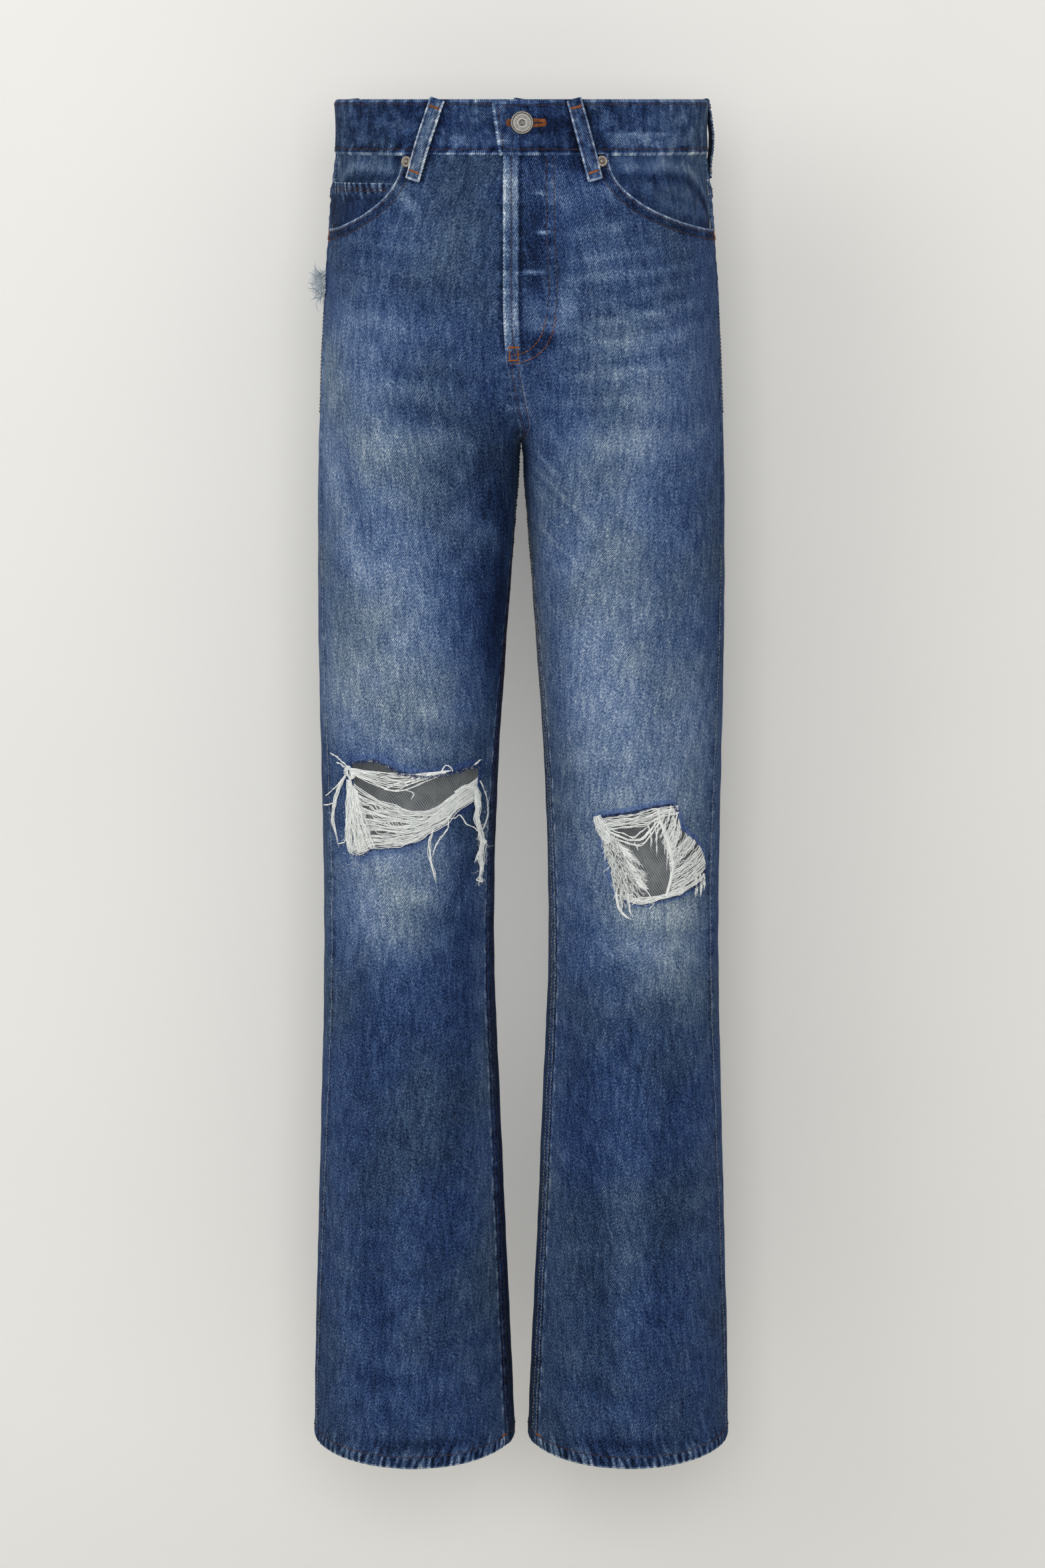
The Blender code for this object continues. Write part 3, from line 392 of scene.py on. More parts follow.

# Each row is a soft patch, paler or, where the last number is below 0, darker: mostly faded indigo,
# with painted light and shade in the rows marked so. Each row has x, z, half width, half height, lean in
# degrees and how much paler.
FRONT_WASH_AND_LIGHT_PATCHES = (
    # the wearer's right thigh, its outer fold and the knee
    (-0.104, -0.440, 0.048, 0.150, 0.0, 0.31),
    (-0.132, -0.225, 0.030, 0.075, 0.0, 0.17),
    (-0.108, -0.182, 0.050, 0.014, 0.0, 0.13),
    (-0.072, -0.112, 0.034, 0.020, 0.0, 0.07),
    (-0.090, -0.228, 0.040, 0.008, 0.0, 0.05),
    (-0.095, -0.270, 0.055, 0.012, 0.0, 0.11),
    (-0.142, -0.330, 0.070, 0.010, -74.0, 0.13),
    # painted shade: dark bands just above both hems, where the slack folds over them
    (-0.086, -1.1215, 0.044, 0.0060, 0.0, -0.14),
    (0.086, -1.1215, 0.044, 0.0060, 0.0, -0.12),
    # smaller patches on the fronts, paler and darker
    (-0.104, -0.290, 0.038, 0.034, 0.0, 0.09),
    (-0.157, -0.216, 0.015, 0.032, 0.0, 0.09),
    (-0.141, -0.375, 0.010, 0.038, 0.0, 0.05),
    (-0.026, -0.382, 0.012, 0.022, 0.0, 0.06),
    (-0.022, -0.349, 0.006, 0.018, 0.0, 0.07),
    (0.019, -0.1755, 0.013, 0.0055, 0.0, 0.14),
    (0.084, -0.280, 0.048, 0.026, 0.0, 0.07),
    (0.105, -0.232, 0.020, 0.015, 0.0, 0.07),
    (0.062, -0.123, 0.020, 0.016, 0.0, 0.08),
    (0.072, -0.189, 0.032, 0.012, 0.0, 0.06),
    (0.071, -0.071, 0.010, 0.009, 0.0, 0.10),
    (-0.100, -0.0475, 0.026, 0.0060, 0.0, -0.13),
    (0.043, -0.0485, 0.032, 0.0070, 0.0, -0.15),
    (0.041, -0.064, 0.009, 0.013, 0.0, -0.09),
    (-0.122, -0.188, 0.025, 0.011, 0.0, -0.08),
    (-0.078, -0.184, 0.020, 0.008, 0.0, -0.06),
    (-0.007, -0.184, 0.012, 0.008, 0.0, -0.10),
    (0.014, -0.197, 0.012, 0.008, 0.0, -0.08),
    (0.030, -0.131, 0.006, 0.024, 0.0, -0.08),
    (0.000, -0.221, 0.020, 0.006, 0.0, -0.05),
    (0.009, -0.167, 0.012, 0.014, 0.0, 0.11),
    (0.0125, -0.165, 0.012, 0.0014, 0.0, 0.18),
    (0.0145, -0.189, 0.012, 0.006, 0.0, -0.10),
    # painted light: paler strips down the outer edge of the wearer's right leg, the side the key lamp lights
    (-0.162, -0.330, 0.015, 0.130, 0.0, 0.15),
    (-0.150, -0.480, 0.022, 0.050, 0.0, 0.17),
    (-0.158, -0.700, 0.016, 0.150, 0.0, 0.06),
    # painted shade, partly unfaded denim: a darker strip down the inner edge of the wearer's right leg, by
    # the gap between the legs
    (-0.024, -0.370, 0.014, 0.120, 2.0, -0.13),
    (-0.030, -0.345, 0.034, 0.012, -45.0, 0.13),
    (-0.052, -0.490, 0.028, 0.045, 0.0, 0.10),
    # more of that painted shade down the inner edge of the wearer's right leg, partly unfaded denim
    (-0.012, -0.480, 0.012, 0.180, 0.0, -0.13),
    (-0.017, -0.780, 0.014, 0.200, 0.0, -0.16),
    (-0.010, -1.020, 0.014, 0.120, 0.0, -0.13),
    (-0.112, -0.648, 0.042, 0.062, 0.0, 0.31),
    (-0.070, -0.610, 0.016, 0.040, 0.0, 0.12),
    (-0.088, -0.930, 0.014, 0.120, 0.0, -0.05),
    (-0.094, -0.076, 0.020, 0.005, -50.0, 0.24),
    (-0.088, -0.066, 0.012, 0.004, -30.0, 0.16),
    # the wearer's left thigh and the knee
    (0.088, -0.450, 0.048, 0.150, 0.0, 0.30),
    (0.070, -0.500, 0.034, 0.060, 0.0, 0.05),
    (0.135, -0.520, 0.026, 0.060, 0.0, 0.14),
    # painted light: paler strips near the inner edge of the wearer's left leg, which faces the key lamp
    (0.040, -0.420, 0.024, 0.170, 0.0, 0.14),
    (0.012, -0.400, 0.013, 0.150, 0.0, 0.17),
    (0.012, -0.650, 0.013, 0.100, 0.0, 0.10),
    (0.095, -0.268, 0.062, 0.014, 0.0, 0.12),
    (0.080, -0.310, 0.050, 0.060, 0.0, 0.08),
    (0.110, -0.215, 0.045, 0.045, 0.0, 0.13),
    (0.021, -0.288, 0.014, 0.0022, -45.0, 0.16),
    (0.031, -0.312, 0.036, 0.0026, -45.0, 0.14),
    (0.032, -0.357, 0.032, 0.0026, -42.0, 0.12),
    (0.096, -0.430, 0.0012, 0.110, 0.0, -0.09),
    (0.108, -0.440, 0.012, 0.110, 0.0, -0.06),
    (0.146, -0.330, 0.018, 0.150, 0.0, 0.07),
    (0.150, -0.520, 0.016, 0.100, 0.0, 0.07),
    (0.106, -0.620, 0.050, 0.075, 0.0, 0.22),
    (0.106, -0.690, 0.034, 0.050, 0.0, 0.17),
    (0.138, -0.700, 0.020, 0.075, 0.0, 0.17),
    (0.045, -0.650, 0.032, 0.110, 0.0, 0.10),
    # its hip whiskers
    (0.062, -0.101, 0.032, 0.0050, 8.0, 0.12),
    (0.074, -0.121, 0.042, 0.0032, 9.0, 0.12),
    (0.072, -0.137, 0.046, 0.0038, 7.0, 0.17),
    (0.096, -0.150, 0.050, 0.0028, 12.0, 0.09),
    (0.084, -0.170, 0.060, 0.0036, 11.0, 0.19),
    (0.075, -0.190, 0.050, 0.0034, 10.0, 0.15),
    (0.070, -0.214, 0.046, 0.0045, 7.0, 0.15),
    (0.064, -0.237, 0.036, 0.0050, 4.0, 0.14),
    # the fly: dark between the rubbed ridges over its buttons
    (0.010, -0.121, 0.012, 0.050, 0.0, -0.17),
    (0.016, -0.0721, 0.010, 0.0018, 0.0, 0.22),
    (0.017, -0.1029, 0.006, 0.0014, 0.0, 0.45),
    (0.011, -0.1338, 0.011, 0.0015, 2.0, 0.50),
    (0.008, -0.1530, 0.012, 0.0050, 0.0, 0.12),
    (0.010, -0.1638, 0.012, 0.0016, 3.0, 0.55),
    (0.014, -0.1890, 0.020, 0.0070, 0.0, -0.08),
    (-0.010, -0.0720, 0.007, 0.024, 0.0, 0.24),
    (-0.009, -0.1740, 0.007, 0.015, 0.0, 0.24),
    (0.036, -0.0700, 0.022, 0.018, 0.0, 0.12),
    (0.036, -0.1600, 0.010, 0.018, 0.0, 0.16),
    # all of the hips
    (-0.090, -0.150, 0.090, 0.130, 0.0, 0.05),
    (0.090, -0.150, 0.090, 0.130, 0.0, 0.05),
)
BACK_WASHES = (
    (-0.085, -0.190, 0.060, 0.080, 0.0, 0.24),
    (0.085, -0.190, 0.060, 0.080, 0.0, 0.24),
    (-0.090, -0.400, 0.048, 0.140, 0.0, 0.14),
    (0.090, -0.400, 0.048, 0.140, 0.0, 0.14),
    (-0.092, -0.660, 0.044, 0.090, 0.0, 0.10),
    (0.092, -0.660, 0.044, 0.090, 0.0, 0.10),
)
WASH_AND_LIGHT_PATCHES = {"front": FRONT_WASH_AND_LIGHT_PATCHES, "back": BACK_WASHES}
BASE_FADE = 0.33
# The next number also sets how much painted shade darkens each crease's trough.
CREASE_RUB_AND_SHADE = 45.0            # how much paler a crease's ridges are, for each metre of its depth


def in_patch(points, x, z, half_length, lean, half_width):
    """Places in a patch's own axes, along and across it, in units of its half sizes."""
    turn = math.radians(lean)
    dx, dz = points[..., 0] - x, points[..., 2] - z
    along = (dx * math.cos(turn) + dz * math.sin(turn)) / half_length
    across = (dz * math.cos(turn) - dx * math.sin(turn)) / half_width
    return along, across


def facing(points, face):
    """1 on the front or the back half, with a soft change at the sides."""
    way = -1.0 if face == "front" else 1.0
    return smoothstep(-0.012, 0.020, way * (points[..., 1] - 0.006))


def over_creases(points):
    """For each crease: its reach over the points, how far across it they lie, and its depth."""
    for face, rows in CREASES.items():
        shown = facing(points, face)
        for x, z, half_length, lean, half_width, depth in rows:
            along, across = in_patch(points, x, z, half_length, lean, half_width)
            yield np.exp(-np.abs(along) ** 2.6) * shown, across, depth


def crease_depth(points):
    """How far the cloth is pushed in or out by its creases."""
    push = np.zeros(points.shape[:-1])
    for reach, across, depth in over_creases(points):
        push -= depth * reach * (np.exp(-across**2) - 0.45 * np.exp(-(np.abs(across) - 2.0) ** 2))
    return push


def wash_and_painted_light(points):
    """How pale the cloth is, from its washes and the rubbed ridges of its creases, with painted shade in the
    creases' troughs and painted light and shade in some of the front patches.
    """
    level = np.full(points.shape[:-1], BASE_FADE)
    for face, rows in WASH_AND_LIGHT_PATCHES.items():
        shown = facing(points, face)
        for x, z, half_width, half_height, lean, gain in rows:
            along, across = in_patch(points, x, z, half_width, lean, half_height)
            level += gain * np.exp(-(along**2 + across**2) ** 1.4) * shown
    for reach, across, depth in over_creases(points):
        # ridges rubbed paler; the trough darker, partly unfaded denim and partly painted crease shade
        rubbed_and_shaded = np.exp(-(np.abs(across) - 1.9) ** 2) - 0.8 * np.exp(-across**2)
        level += CREASE_RUB_AND_SHADE * abs(depth) * reach * rubbed_and_shaded
    return level


# ---- materials --------------------------------------------------------------------
class Nodes:
    """A few short ways to build one node material."""

    def __init__(self, name):
        self.material = bpy.data.materials.new(name)
        self.material.use_nodes = True
        self.tree = self.material.node_tree
        self.shader = self.tree.nodes["Principled BSDF"]

    def feed(self, socket, value):
        if isinstance(value, bpy.types.NodeSocket):
            self.tree.links.new(value, socket)
        else:
            socket.default_value = value

    def attribute(self, name):
        node = self.tree.nodes.new("ShaderNodeAttribute")
        node.attribute_name = name
        return node

    def parts(self, vector):
        node = self.tree.nodes.new("ShaderNodeSeparateXYZ")
        self.feed(node.inputs[0], vector)
        return node.outputs

    def join(self, x, y, z=0.0):
        node = self.tree.nodes.new("ShaderNodeCombineXYZ")
        for socket, value in zip(node.inputs, (x, y, z)):
            self.feed(socket, value)
        return node.outputs[0]

    def math(self, operation, first, second=0.0, third=0.0, clamp=False):
        node = self.tree.nodes.new("ShaderNodeMath")
        node.operation = operation
        node.use_clamp = clamp
        for socket, value in zip(node.inputs, (first, second, third)):
            self.feed(socket, value)
        return node.outputs[0]

    def times(self, first, second):
        return self.math("MULTIPLY", first, second)

    def scale(self, value, factor, plus):
        return self.math("MULTIPLY_ADD", value, factor, plus)

    def total(self, *values):
        out = values[0]
        for value in values[1:]:
            out = self.math("ADD", out, value)
        return out

    def step(self, value, low, high, first=0.0, last=1.0):
        """A smooth step from first to last as value goes from low to high."""
        node = self.tree.nodes.new("ShaderNodeMapRange")
        node.interpolation_type = "SMOOTHSTEP"
        for socket, number in zip(node.inputs, (value, low, high, first, last)):
            self.feed(socket, number)
        return node.outputs[0]

    def noise(self, vector, scale, detail=2.0, roughness=0.5):
        """Noise from about -1 to 1."""
        node = self.tree.nodes.new("ShaderNodeTexNoise")
        self.feed(node.inputs["Vector"], vector)
        node.inputs["Scale"].default_value = scale
        node.inputs["Detail"].default_value = detail
        node.inputs["Roughness"].default_value = roughness
        return self.scale(node.outputs[0], 2.0, -1.0)

    def ramp(self, value, stops):
        """A colour ramp; stops are (place, sRGB colour)."""
        node = self.tree.nodes.new("ShaderNodeValToRGB")
        self.feed(node.inputs[0], value)
        elements = node.color_ramp.elements
        while len(elements) < len(stops):
            elements.new(1.0)
        for element, (place, colour) in zip(elements, stops):
            element.position = place
            element.color = linear(*colour)
        return node.outputs[0]

    def mix(self, factor, first, second):
        node = self.tree.nodes.new("ShaderNodeMix")
        node.data_type = "RGBA"
        self.feed(node.inputs[0], factor)
        self.feed(node.inputs[6], first)
        self.feed(node.inputs[7], second)
        return node.outputs[2]

    def bump(self, height, strength, distance):
        node = self.tree.nodes.new("ShaderNodeBump")
        node.inputs["Strength"].default_value = strength
        node.inputs["Distance"].default_value = distance
        self.feed(node.inputs["Height"], height)
        self.feed(self.shader.inputs["Normal"], node.outputs[0])

    def object_place(self):
        return self.tree.nodes.new("ShaderNodeTexCoord").outputs["Object"]

    def finish(self, colour, roughness, specular, height=None, strength=0.0, distance=0.0):
        """Set the shader's colour, gloss and bump, and give the material."""
        self.feed(self.shader.inputs["Base Color"], colour)
        if roughness is not None:
            self.shader.inputs["Roughness"].default_value = roughness
            self.shader.inputs["Specular IOR Level"].default_value = specular
        if height is not None:
            self.bump(height, strength, distance)
        return self.material


INDIGO = (
    (0.00, (6, 12, 30)),
    (0.18, (16, 30, 62)),
    (0.38, (40, 63, 106)),
    (0.58, (80, 103, 140)),
    (0.78, (131, 150, 178)),
    (1.00, (212, 221, 230)),
)
GREY_INDIGO = (
    (0.00, (7, 13, 27)),
    (0.18, (18, 32, 56)),
    (0.38, (44, 65, 97)),
    (0.58, (85, 105, 130)),
    (0.78, (137, 153, 168)),
    (1.00, (214, 221, 224)),
)
WRONG_SIDE = (
    (0.00, (70, 80, 94)),
    (0.30, (150, 160, 172)),
    (0.60, (244, 247, 249)),
    (1.00, (253, 254, 254)),
)
NAVY = (
    (0.00, (10, 16, 38)),
    (0.50, (36, 58, 106)),
    (1.00, (116, 140, 180)),
)
TWILL_PITCH = 0.00128
TWILL_ANGLE = math.radians(55.0)


def denim(name, palette, twill=0.14, fleck=0.66, slub=0.26, mottle=0.11, lift=0.0, follow=1.0,
          rims=0.34, patches=0.0, pitch=TWILL_PITCH, turned=False):
    """Washed denim: twill lines, white flecks, slubs, worn and puckered edges.

    It reads four attributes of the cloth: weave, the place on the flat cloth; fade,
    how pale it is, from fading and wear and from painted light and shade; edge, the distance to the
    nearest seam or edge, the distance along it, and how worn it is there; and torn, how near it is to a
    frayed edge.
    """
    n = Nodes(name)
    weave = n.attribute("weave").outputs["Vector"]
    u, v, _ = n.parts(weave)
    near, along, worn = n.parts(n.attribute("edge").outputs["Vector"])
    fade = n.scale(n.attribute("fade").outputs["Fac"], follow, lift)

    lean = -1.0 if turned else 1.0
    rise, run = math.sin(TWILL_ANGLE), math.cos(TWILL_ANGLE)
    with_twill = n.scale(u, lean * run, n.times(v, rise))
    across_twill = n.scale(u, rise, n.times(v, -lean * run))
    wobble = n.noise(weave, 140.0, 2.0)
    lines = n.math("SINE", n.total(n.times(across_twill, 2 * math.pi / pitch), n.times(wobble, 1.8)))
    clear = n.step(n.noise(weave, 90.0, 2.0), -0.35, 0.35, 0.25, 1.0)
    flecks = n.noise(n.join(n.times(with_twill, 0.45), across_twill), 1000.0, 2.5, 0.70)
    slubs = n.noise(n.join(u, n.times(v, 0.20)), 260.0, 3.0, 0.65)
    clouds = n.noise(n.join(u, n.times(v, 0.6)), 60.0, 3.0, 0.6)

    # a wear above 1 marks a turned hem: slanting ropes on it, and streaks drawn up beside it
    hemmed = n.step(worn, 1.05, 1.5)
    worn = n.math("MINIMUM", worn, 1.0)
    drift = n.times(n.noise(n.join(along, 0.0), 70.0, 1.0), 5.0)
    ropes = n.math("SINE", n.total(n.times(along, 2 * math.pi / 0.0068),
                                   n.times(near, 2 * math.pi / 0.024), drift))
    ropes = n.times(n.scale(ropes, 0.17, 0.00), n.step(near, 0.0098, 0.0082))
    streaks = n.noise(n.join(n.scale(near, 0.5, along), n.times(near, 0.22)), 190.0)
    streaks = n.times(n.times(streaks, n.step(near, 0.030, 0.009)), 0.50)
    hemmed = n.times(hemmed, n.math("ADD", ropes, streaks))

    pucker = n.noise(n.join(along, n.times(near, 0.35)), 150.0, 2.0, 0.5)
    by_edge = n.times(n.step(near, 0.0120, 0.002), worn)
    rub = n.times(n.step(near, 0.0015, 0.0007), n.scale(pucker, 0.35, 0.85))
    rub = n.times(rub, worn)
    level = n.total(
        fade,
        n.times(n.times(lines, clear), twill),
        n.times(flecks, fleck),
        n.times(slubs, slub),
        n.times(clouds, mottle),
        n.times(n.times(pucker, n.math("ABSOLUTE", by_edge)), 0.55),
        n.times(rub, rims),
        hemmed,
        n.times(n.step(n.noise(weave, 75.0, 3.0, 0.6), -0.10, 0.12, -1.0, 1.0), patches),
    )
    colour = n.ramp(level, palette)
    if palette is INDIGO:
        cast = n.step(n.noise(weave, 9.0, 2.0), -0.25, 0.35)
        colour = n.mix(cast, colour, n.ramp(level, GREY_INDIGO))
    torn = n.total(n.attribute("torn").outputs["Fac"], n.times(flecks, 0.5))
    colour = n.mix(n.step(torn, 0.35, 0.60), colour, n.ramp(n.math("ADD", level, 0.12), NAVY))
    height = n.total(n.times(lines, 0.35), n.times(flecks, 1.0), n.times(n.times(pucker, by_edge), 2.5))
    return n.finish(colour, 0.92, 0.10, height, 0.5, 0.0005)


def yarn(name, colour, shade):
    """Cotton thread with a fine twist."""
    n = Nodes(name)
    where = n.object_place()
    patches = n.step(n.noise(where, 260.0, 3.0, 0.6), -0.5, 0.5)
    colour = n.mix(patches, linear(*shade), linear(*colour))
    return n.finish(colour, 0.85, 0.2, n.noise(where, 1500.0, 2.0), 0.3, 0.0002)


def metal(name, colour, dark, roughness):
    """Worn plated metal with fine scratches and dull spots."""
    n = Nodes(name)
    where = n.object_place()
    spots = n.noise(where, 900.0, 4.0, 0.7)
    colour = n.mix(n.step(spots, -0.4, 0.5), linear(*dark), linear(*colour))
    n.feed(n.shader.inputs["Roughness"], n.scale(spots, 0.12, roughness))
    n.shader.inputs["Metallic"].default_value = 1.0
    return n.finish(colour, None, None, n.noise(where, 2600.0, 3.0), 0.2, 0.0001)


def backdrop(name, colour):
    """Pale matt paint, seen from its front only."""
    n = Nodes(name)
    patches = n.step(n.noise(n.object_place(), 2.0, 3.0, 0.5), -0.5, 0.5)
    pale = tuple(min(part + 4, 255) for part in colour)
    n.finish(n.mix(patches, linear(*colour), linear(*pale)), 0.95, 0.1)
    path = n.tree.nodes.new("ShaderNodeLightPath")
    back = n.tree.nodes.new("ShaderNodeNewGeometry").outputs["Backfacing"]
    clear = n.tree.nodes.new("ShaderNodeBsdfTransparent")
    choose = n.tree.nodes.new("ShaderNodeMixShader")
    n.feed(choose.inputs[0], n.times(path.outputs["Is Camera Ray"], back))
    n.feed(choose.inputs[1], n.shader.outputs[0])
    n.feed(choose.inputs[2], clear.outputs[0])
    n.feed(n.tree.nodes["Material Output"].inputs[0], choose.outputs[0])
    return n.material


LOOKS = {
    "denim": denim("washed_denim", INDIGO),
    "band": denim("band_denim", INDIGO, twill=0.20, fleck=0.5, patches=0.07, turned=True),
    "loop": denim("loop_denim", INDIGO, twill=0.20, fleck=0.4, rims=0.34),
    "facing": denim("facing_denim", INDIGO, twill=0.22, fleck=0.4, patches=0.04, turned=True),
    "dark": denim("dark_denim", INDIGO, twill=0.08, fleck=0.4),
    "wrong_side": denim("wrong_side_denim", WRONG_SIDE, twill=0.46, fleck=0.15, slub=0.08, mottle=0.06,
                        lift=0.54, follow=0.12, pitch=0.0019),
    "white": yarn("white_yarn", (248, 249, 246), (226, 231, 230)),
    "grey_white": yarn("grey_white_thread", (216, 224, 228), (138, 150, 160)),
    "navy": yarn("navy_yarn", (66, 86, 132), (26, 38, 76)),
    "brown": yarn("brown_thread", (88, 64, 56), (46, 36, 38)),
    "orange": yarn("orange_thread", (174, 106, 58), (104, 62, 38)),
    "tan": yarn("tan_thread", (176, 172, 158), (112, 112, 108)),
    "nickel": metal("nickel", (146, 144, 140), (98, 96, 92), 0.42),
    "copper": metal("pale_copper", (158, 150, 140), (104, 94, 84), 0.42),
}


# ---- making meshes -----------------------------------------------------------------
def place(piece, slot, node=None):
    """A piece rides on the frame and may stand for a CAD node, whose part it hides; the slot is not used."""
    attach(piece, "root")
    if node:
        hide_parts(node)
    return piece


def make_mesh(name, points, faces, looks, face_looks=None, attributes=None, sharp=60.0):
    """An object from points and faces, with float or vector attributes on its points."""
    mesh = bpy.data.meshes.new(name)
    mesh.from_pydata(points.tolist(), [], faces)
    for look in looks:
        mesh.materials.append(LOOKS[look])
    if face_looks is not None:
        mesh.polygons.foreach_set("material_index", np.asarray(face_looks, np.int32))
    for label, values in (attributes or {}).items():
        kind, key = ("FLOAT", "value") if values.ndim == 1 else ("FLOAT_VECTOR", "vector")
        made = mesh.attributes.new(label, kind, "POINT")
        made.data.foreach_set(key, np.ascontiguousarray(values, np.float32).ravel())
    mesh.shade_smooth()
    mesh.set_sharp_from_angle(angle=math.radians(sharp))
    piece = bpy.data.objects.new(name, mesh)
    bpy.context.collection.objects.link(piece)
    return piece


def near_line(s, z, line):
    """Distance of each place from a polyline, and the distance along it of the nearest one."""
    line = np.asarray(line, float)
    best = np.full(np.shape(s), 1.0)
    along = np.zeros(np.shape(s))
    run = 0.0
    for (s0, z0), (s1, z1) in zip(line[:-1], line[1:]):
        length = math.hypot(s1 - s0, z1 - z0)
        if length < 1e-9:
            continue
        t = np.clip(((s - s0) * (s1 - s0) + (z - z0) * (z1 - z0)) / length**2, 0.0, 1.0)
        gap = np.hypot(s - s0 - t * (s1 - s0), z - z0 - t * (z1 - z0))
        closer = gap < best
        best = np.where(closer, gap, best)
        along = np.where(closer, run + t * length, along)
        run += length
    return best, along


def nearest_edge(edges):
    """The nearest of several edges, each (distance, distance along it, wear)."""
    best, along, worn = [np.array(part, float) for part in np.broadcast_arrays(*edges[0])]
    for edge in edges[1:]:
        gap, run, wear = np.broadcast_arrays(*edge)
        closer = gap < best
        best, along, worn = (np.where(closer, new, old)
                             for new, old in ((gap, best), (run, along), (wear, worn)))
    return np.stack((best, along, worn), axis=-1)


def cloth(name, side, s, z, outer, inner, looks, edge, fade=None, open_cells=None, torn=0.0):
    """A thin shell of cloth over a grid of skin places, with rounded rims.

    outer and inner are how far its faces lie from the skin. looks are the right side's
    and the wrong side's. Rows run down and columns run round, away from the middle.
    """
    s, z = np.broadcast_arrays(s, z)
    base = skin(side, s, z)
    normals = skin_normals(side, s, z)
    outer = np.broadcast_to(outer, s.shape)
    inner = np.broadcast_to(inner, s.shape)
    right_side = base + normals * outer[..., None]
    wrong_side = base + normals * inner[..., None]
    rows, columns = s.shape

    keep = np.ones((rows - 1, columns - 1), bool)
    if open_cells is not None:
        keep[open_cells] = False
    row, col = np.nonzero(keep)
    corner = row * columns + col
    quads = np.stack((corner, corner + columns, corner + columns + 1, corner + 1), axis=1)
    if side < 0:
        quads = quads[:, ::-1]
    behind = rows * columns
    ends = np.concatenate([quads[:, (k, (k + 1) % 4)] for k in range(4)])
    forward = {(a, b) for a, b in ends.tolist()}
    rim = [(a, b) for a, b in forward if (b, a) not in forward]
    rim.sort()

    flat_right = right_side.reshape(-1, 3)
    flat_wrong = wrong_side.reshape(-1, 3)
    rim_points = sorted({a for edge_ends in rim for a in edge_ends})
    place_in_rim = {point: 2 * behind + k for k, point in enumerate(rim_points)}
    away = {point: np.zeros(3) for point in rim_points}
    flat_normals = normals.reshape(-1, 3)
    for a, b in rim:
        out = np.cross(flat_right[b] - flat_right[a], flat_normals[a])
        for point in (a, b):
            away[point] += out
    middle = []
    for point in rim_points:
        out = away[point] / max(np.linalg.norm(away[point]), 1e-9)
        wall = np.linalg.norm(flat_right[point] - flat_wrong[point])
        middle.append((flat_right[point] + flat_wrong[point]) / 2 + out * 0.35 * wall)

    points = np.concatenate((flat_right, flat_wrong, np.array(middle)))
    faces = quads.tolist() + (quads[:, ::-1] + behind).tolist()
    for a, b in rim:
        faces.append((b, a, place_in_rim[a], place_in_rim[b]))
        faces.append((place_in_rim[b], place_in_rim[a], a + behind, b + behind))
    face_looks = [0] * len(quads) + [1] * len(quads) + [0] * (2 * len(rim))

    from_seam = s - side_seam(z)
    middle_z = z[:, columns // 2]
    straight_down = skin(side, side_seam(middle_z) + from_seam[:, columns // 2].mean(), middle_z)
    down = np.linalg.norm(np.diff(straight_down, axis=0), axis=1)
    height = -np.concatenate(([0.0], np.cumsum(down)))[:, None]
    weave = np.stack((side * from_seam, z, np.zeros(s.shape)), axis=-1)
    fade = wash_and_painted_light(base) if fade is None else np.broadcast_to(fade, s.shape)
    pick = np.concatenate((np.arange(behind), np.arange(behind), rim_points)).astype(int)
    attributes = {
        "weave": weave.reshape(-1, 3)[pick],
        "edge": edge.reshape(-1, 3)[pick],
        "fade": fade.reshape(-1)[pick],
        "torn": np.broadcast_to(torn, s.shape).reshape(-1)[pick],
    }
    used = np.unique(np.array([corner for face in faces for corner in face]))
    renumber = np.full(len(points), -1)
    renumber[used] = np.arange(len(used))
    faces = [tuple(renumber[list(face)].tolist()) for face in faces]
    attributes = {label: values[used] for label, values in attributes.items()}
    piece = make_mesh(name, points[used], faces, looks, face_looks, attributes)
    wide = float((s.max(axis=1) - s.min(axis=1)).max())
    tall = float(height.max() - height.min())
    cells = keep * 0.5 * (s[:-1, 1:] - s[:-1, :-1] + s[1:, 1:] - s[1:, :-1])
    area = float(abs(cells * np.diff(height, axis=0)).sum())
    return piece, (wide, tall), min(area, wide * tall)


def spread(count, crowding):
    """Shares from 0 to 1 that lie closer together at both ends."""
    t = np.linspace(0.0, 1.0, count + 1)
    return t - crowding * np.sin(2 * math.pi * t) / (2 * math.pi)


def lay_cloth(node, side, s, z, outer, inner, edges, slot, rests_on, name=None,
              looks=("denim", "wrong_side"), **options):
    """A cloth piece on the frame, standing for its CAD node; its flat size is worked out but not kept, and
    the slot is not used.
    """
    piece, flat, area = cloth(name or "cloth_" + node, side, s, z, outer, inner, looks,
                              nearest_edge(edges), **options)
    place(piece, slot, node)
    wide, tall = round(flat[0], 4), round(flat[1], 4)
    area = min(max(area, LEAST_FILLED * wide * tall), wide * tall)


# ---- places on the cloth ------------------------------------------------------------
LAP = 0.0004                 # how far a panel runs past its seam, to keep light out
FRONT_LAP = 0.0030           # and how far the wearer's right front runs under the fly
MOUTH_FOOT_Z = -BAND_HEIGHT - MOUTH_DEPTH
TEAR_TOP_Z, TEAR_FOOT_Z = -0.500, -0.690
FLY_STRIP = 0.0108
SEAM_DIP = 0.0009
SEAM_RIDGE = 0.0003
MOUTH_HEM = 0.0100
PANEL_TOP_Z = -0.0412
SEWN_TOP_Z = -0.0435         # a panel's stitches start below the waistband
YOKE_PROUD = 0.0004          # how far a yoke stands over the back panel
NO_EDGE = 0.05               # added to a distance where a panel has no such edge
PANEL_COLUMNS = 88           # cells round a front panel
BACK_COLUMNS = 58            # and round a back panel or a yoke
CROWDING = 0.55              # how much closer a panel's columns lie at its seams
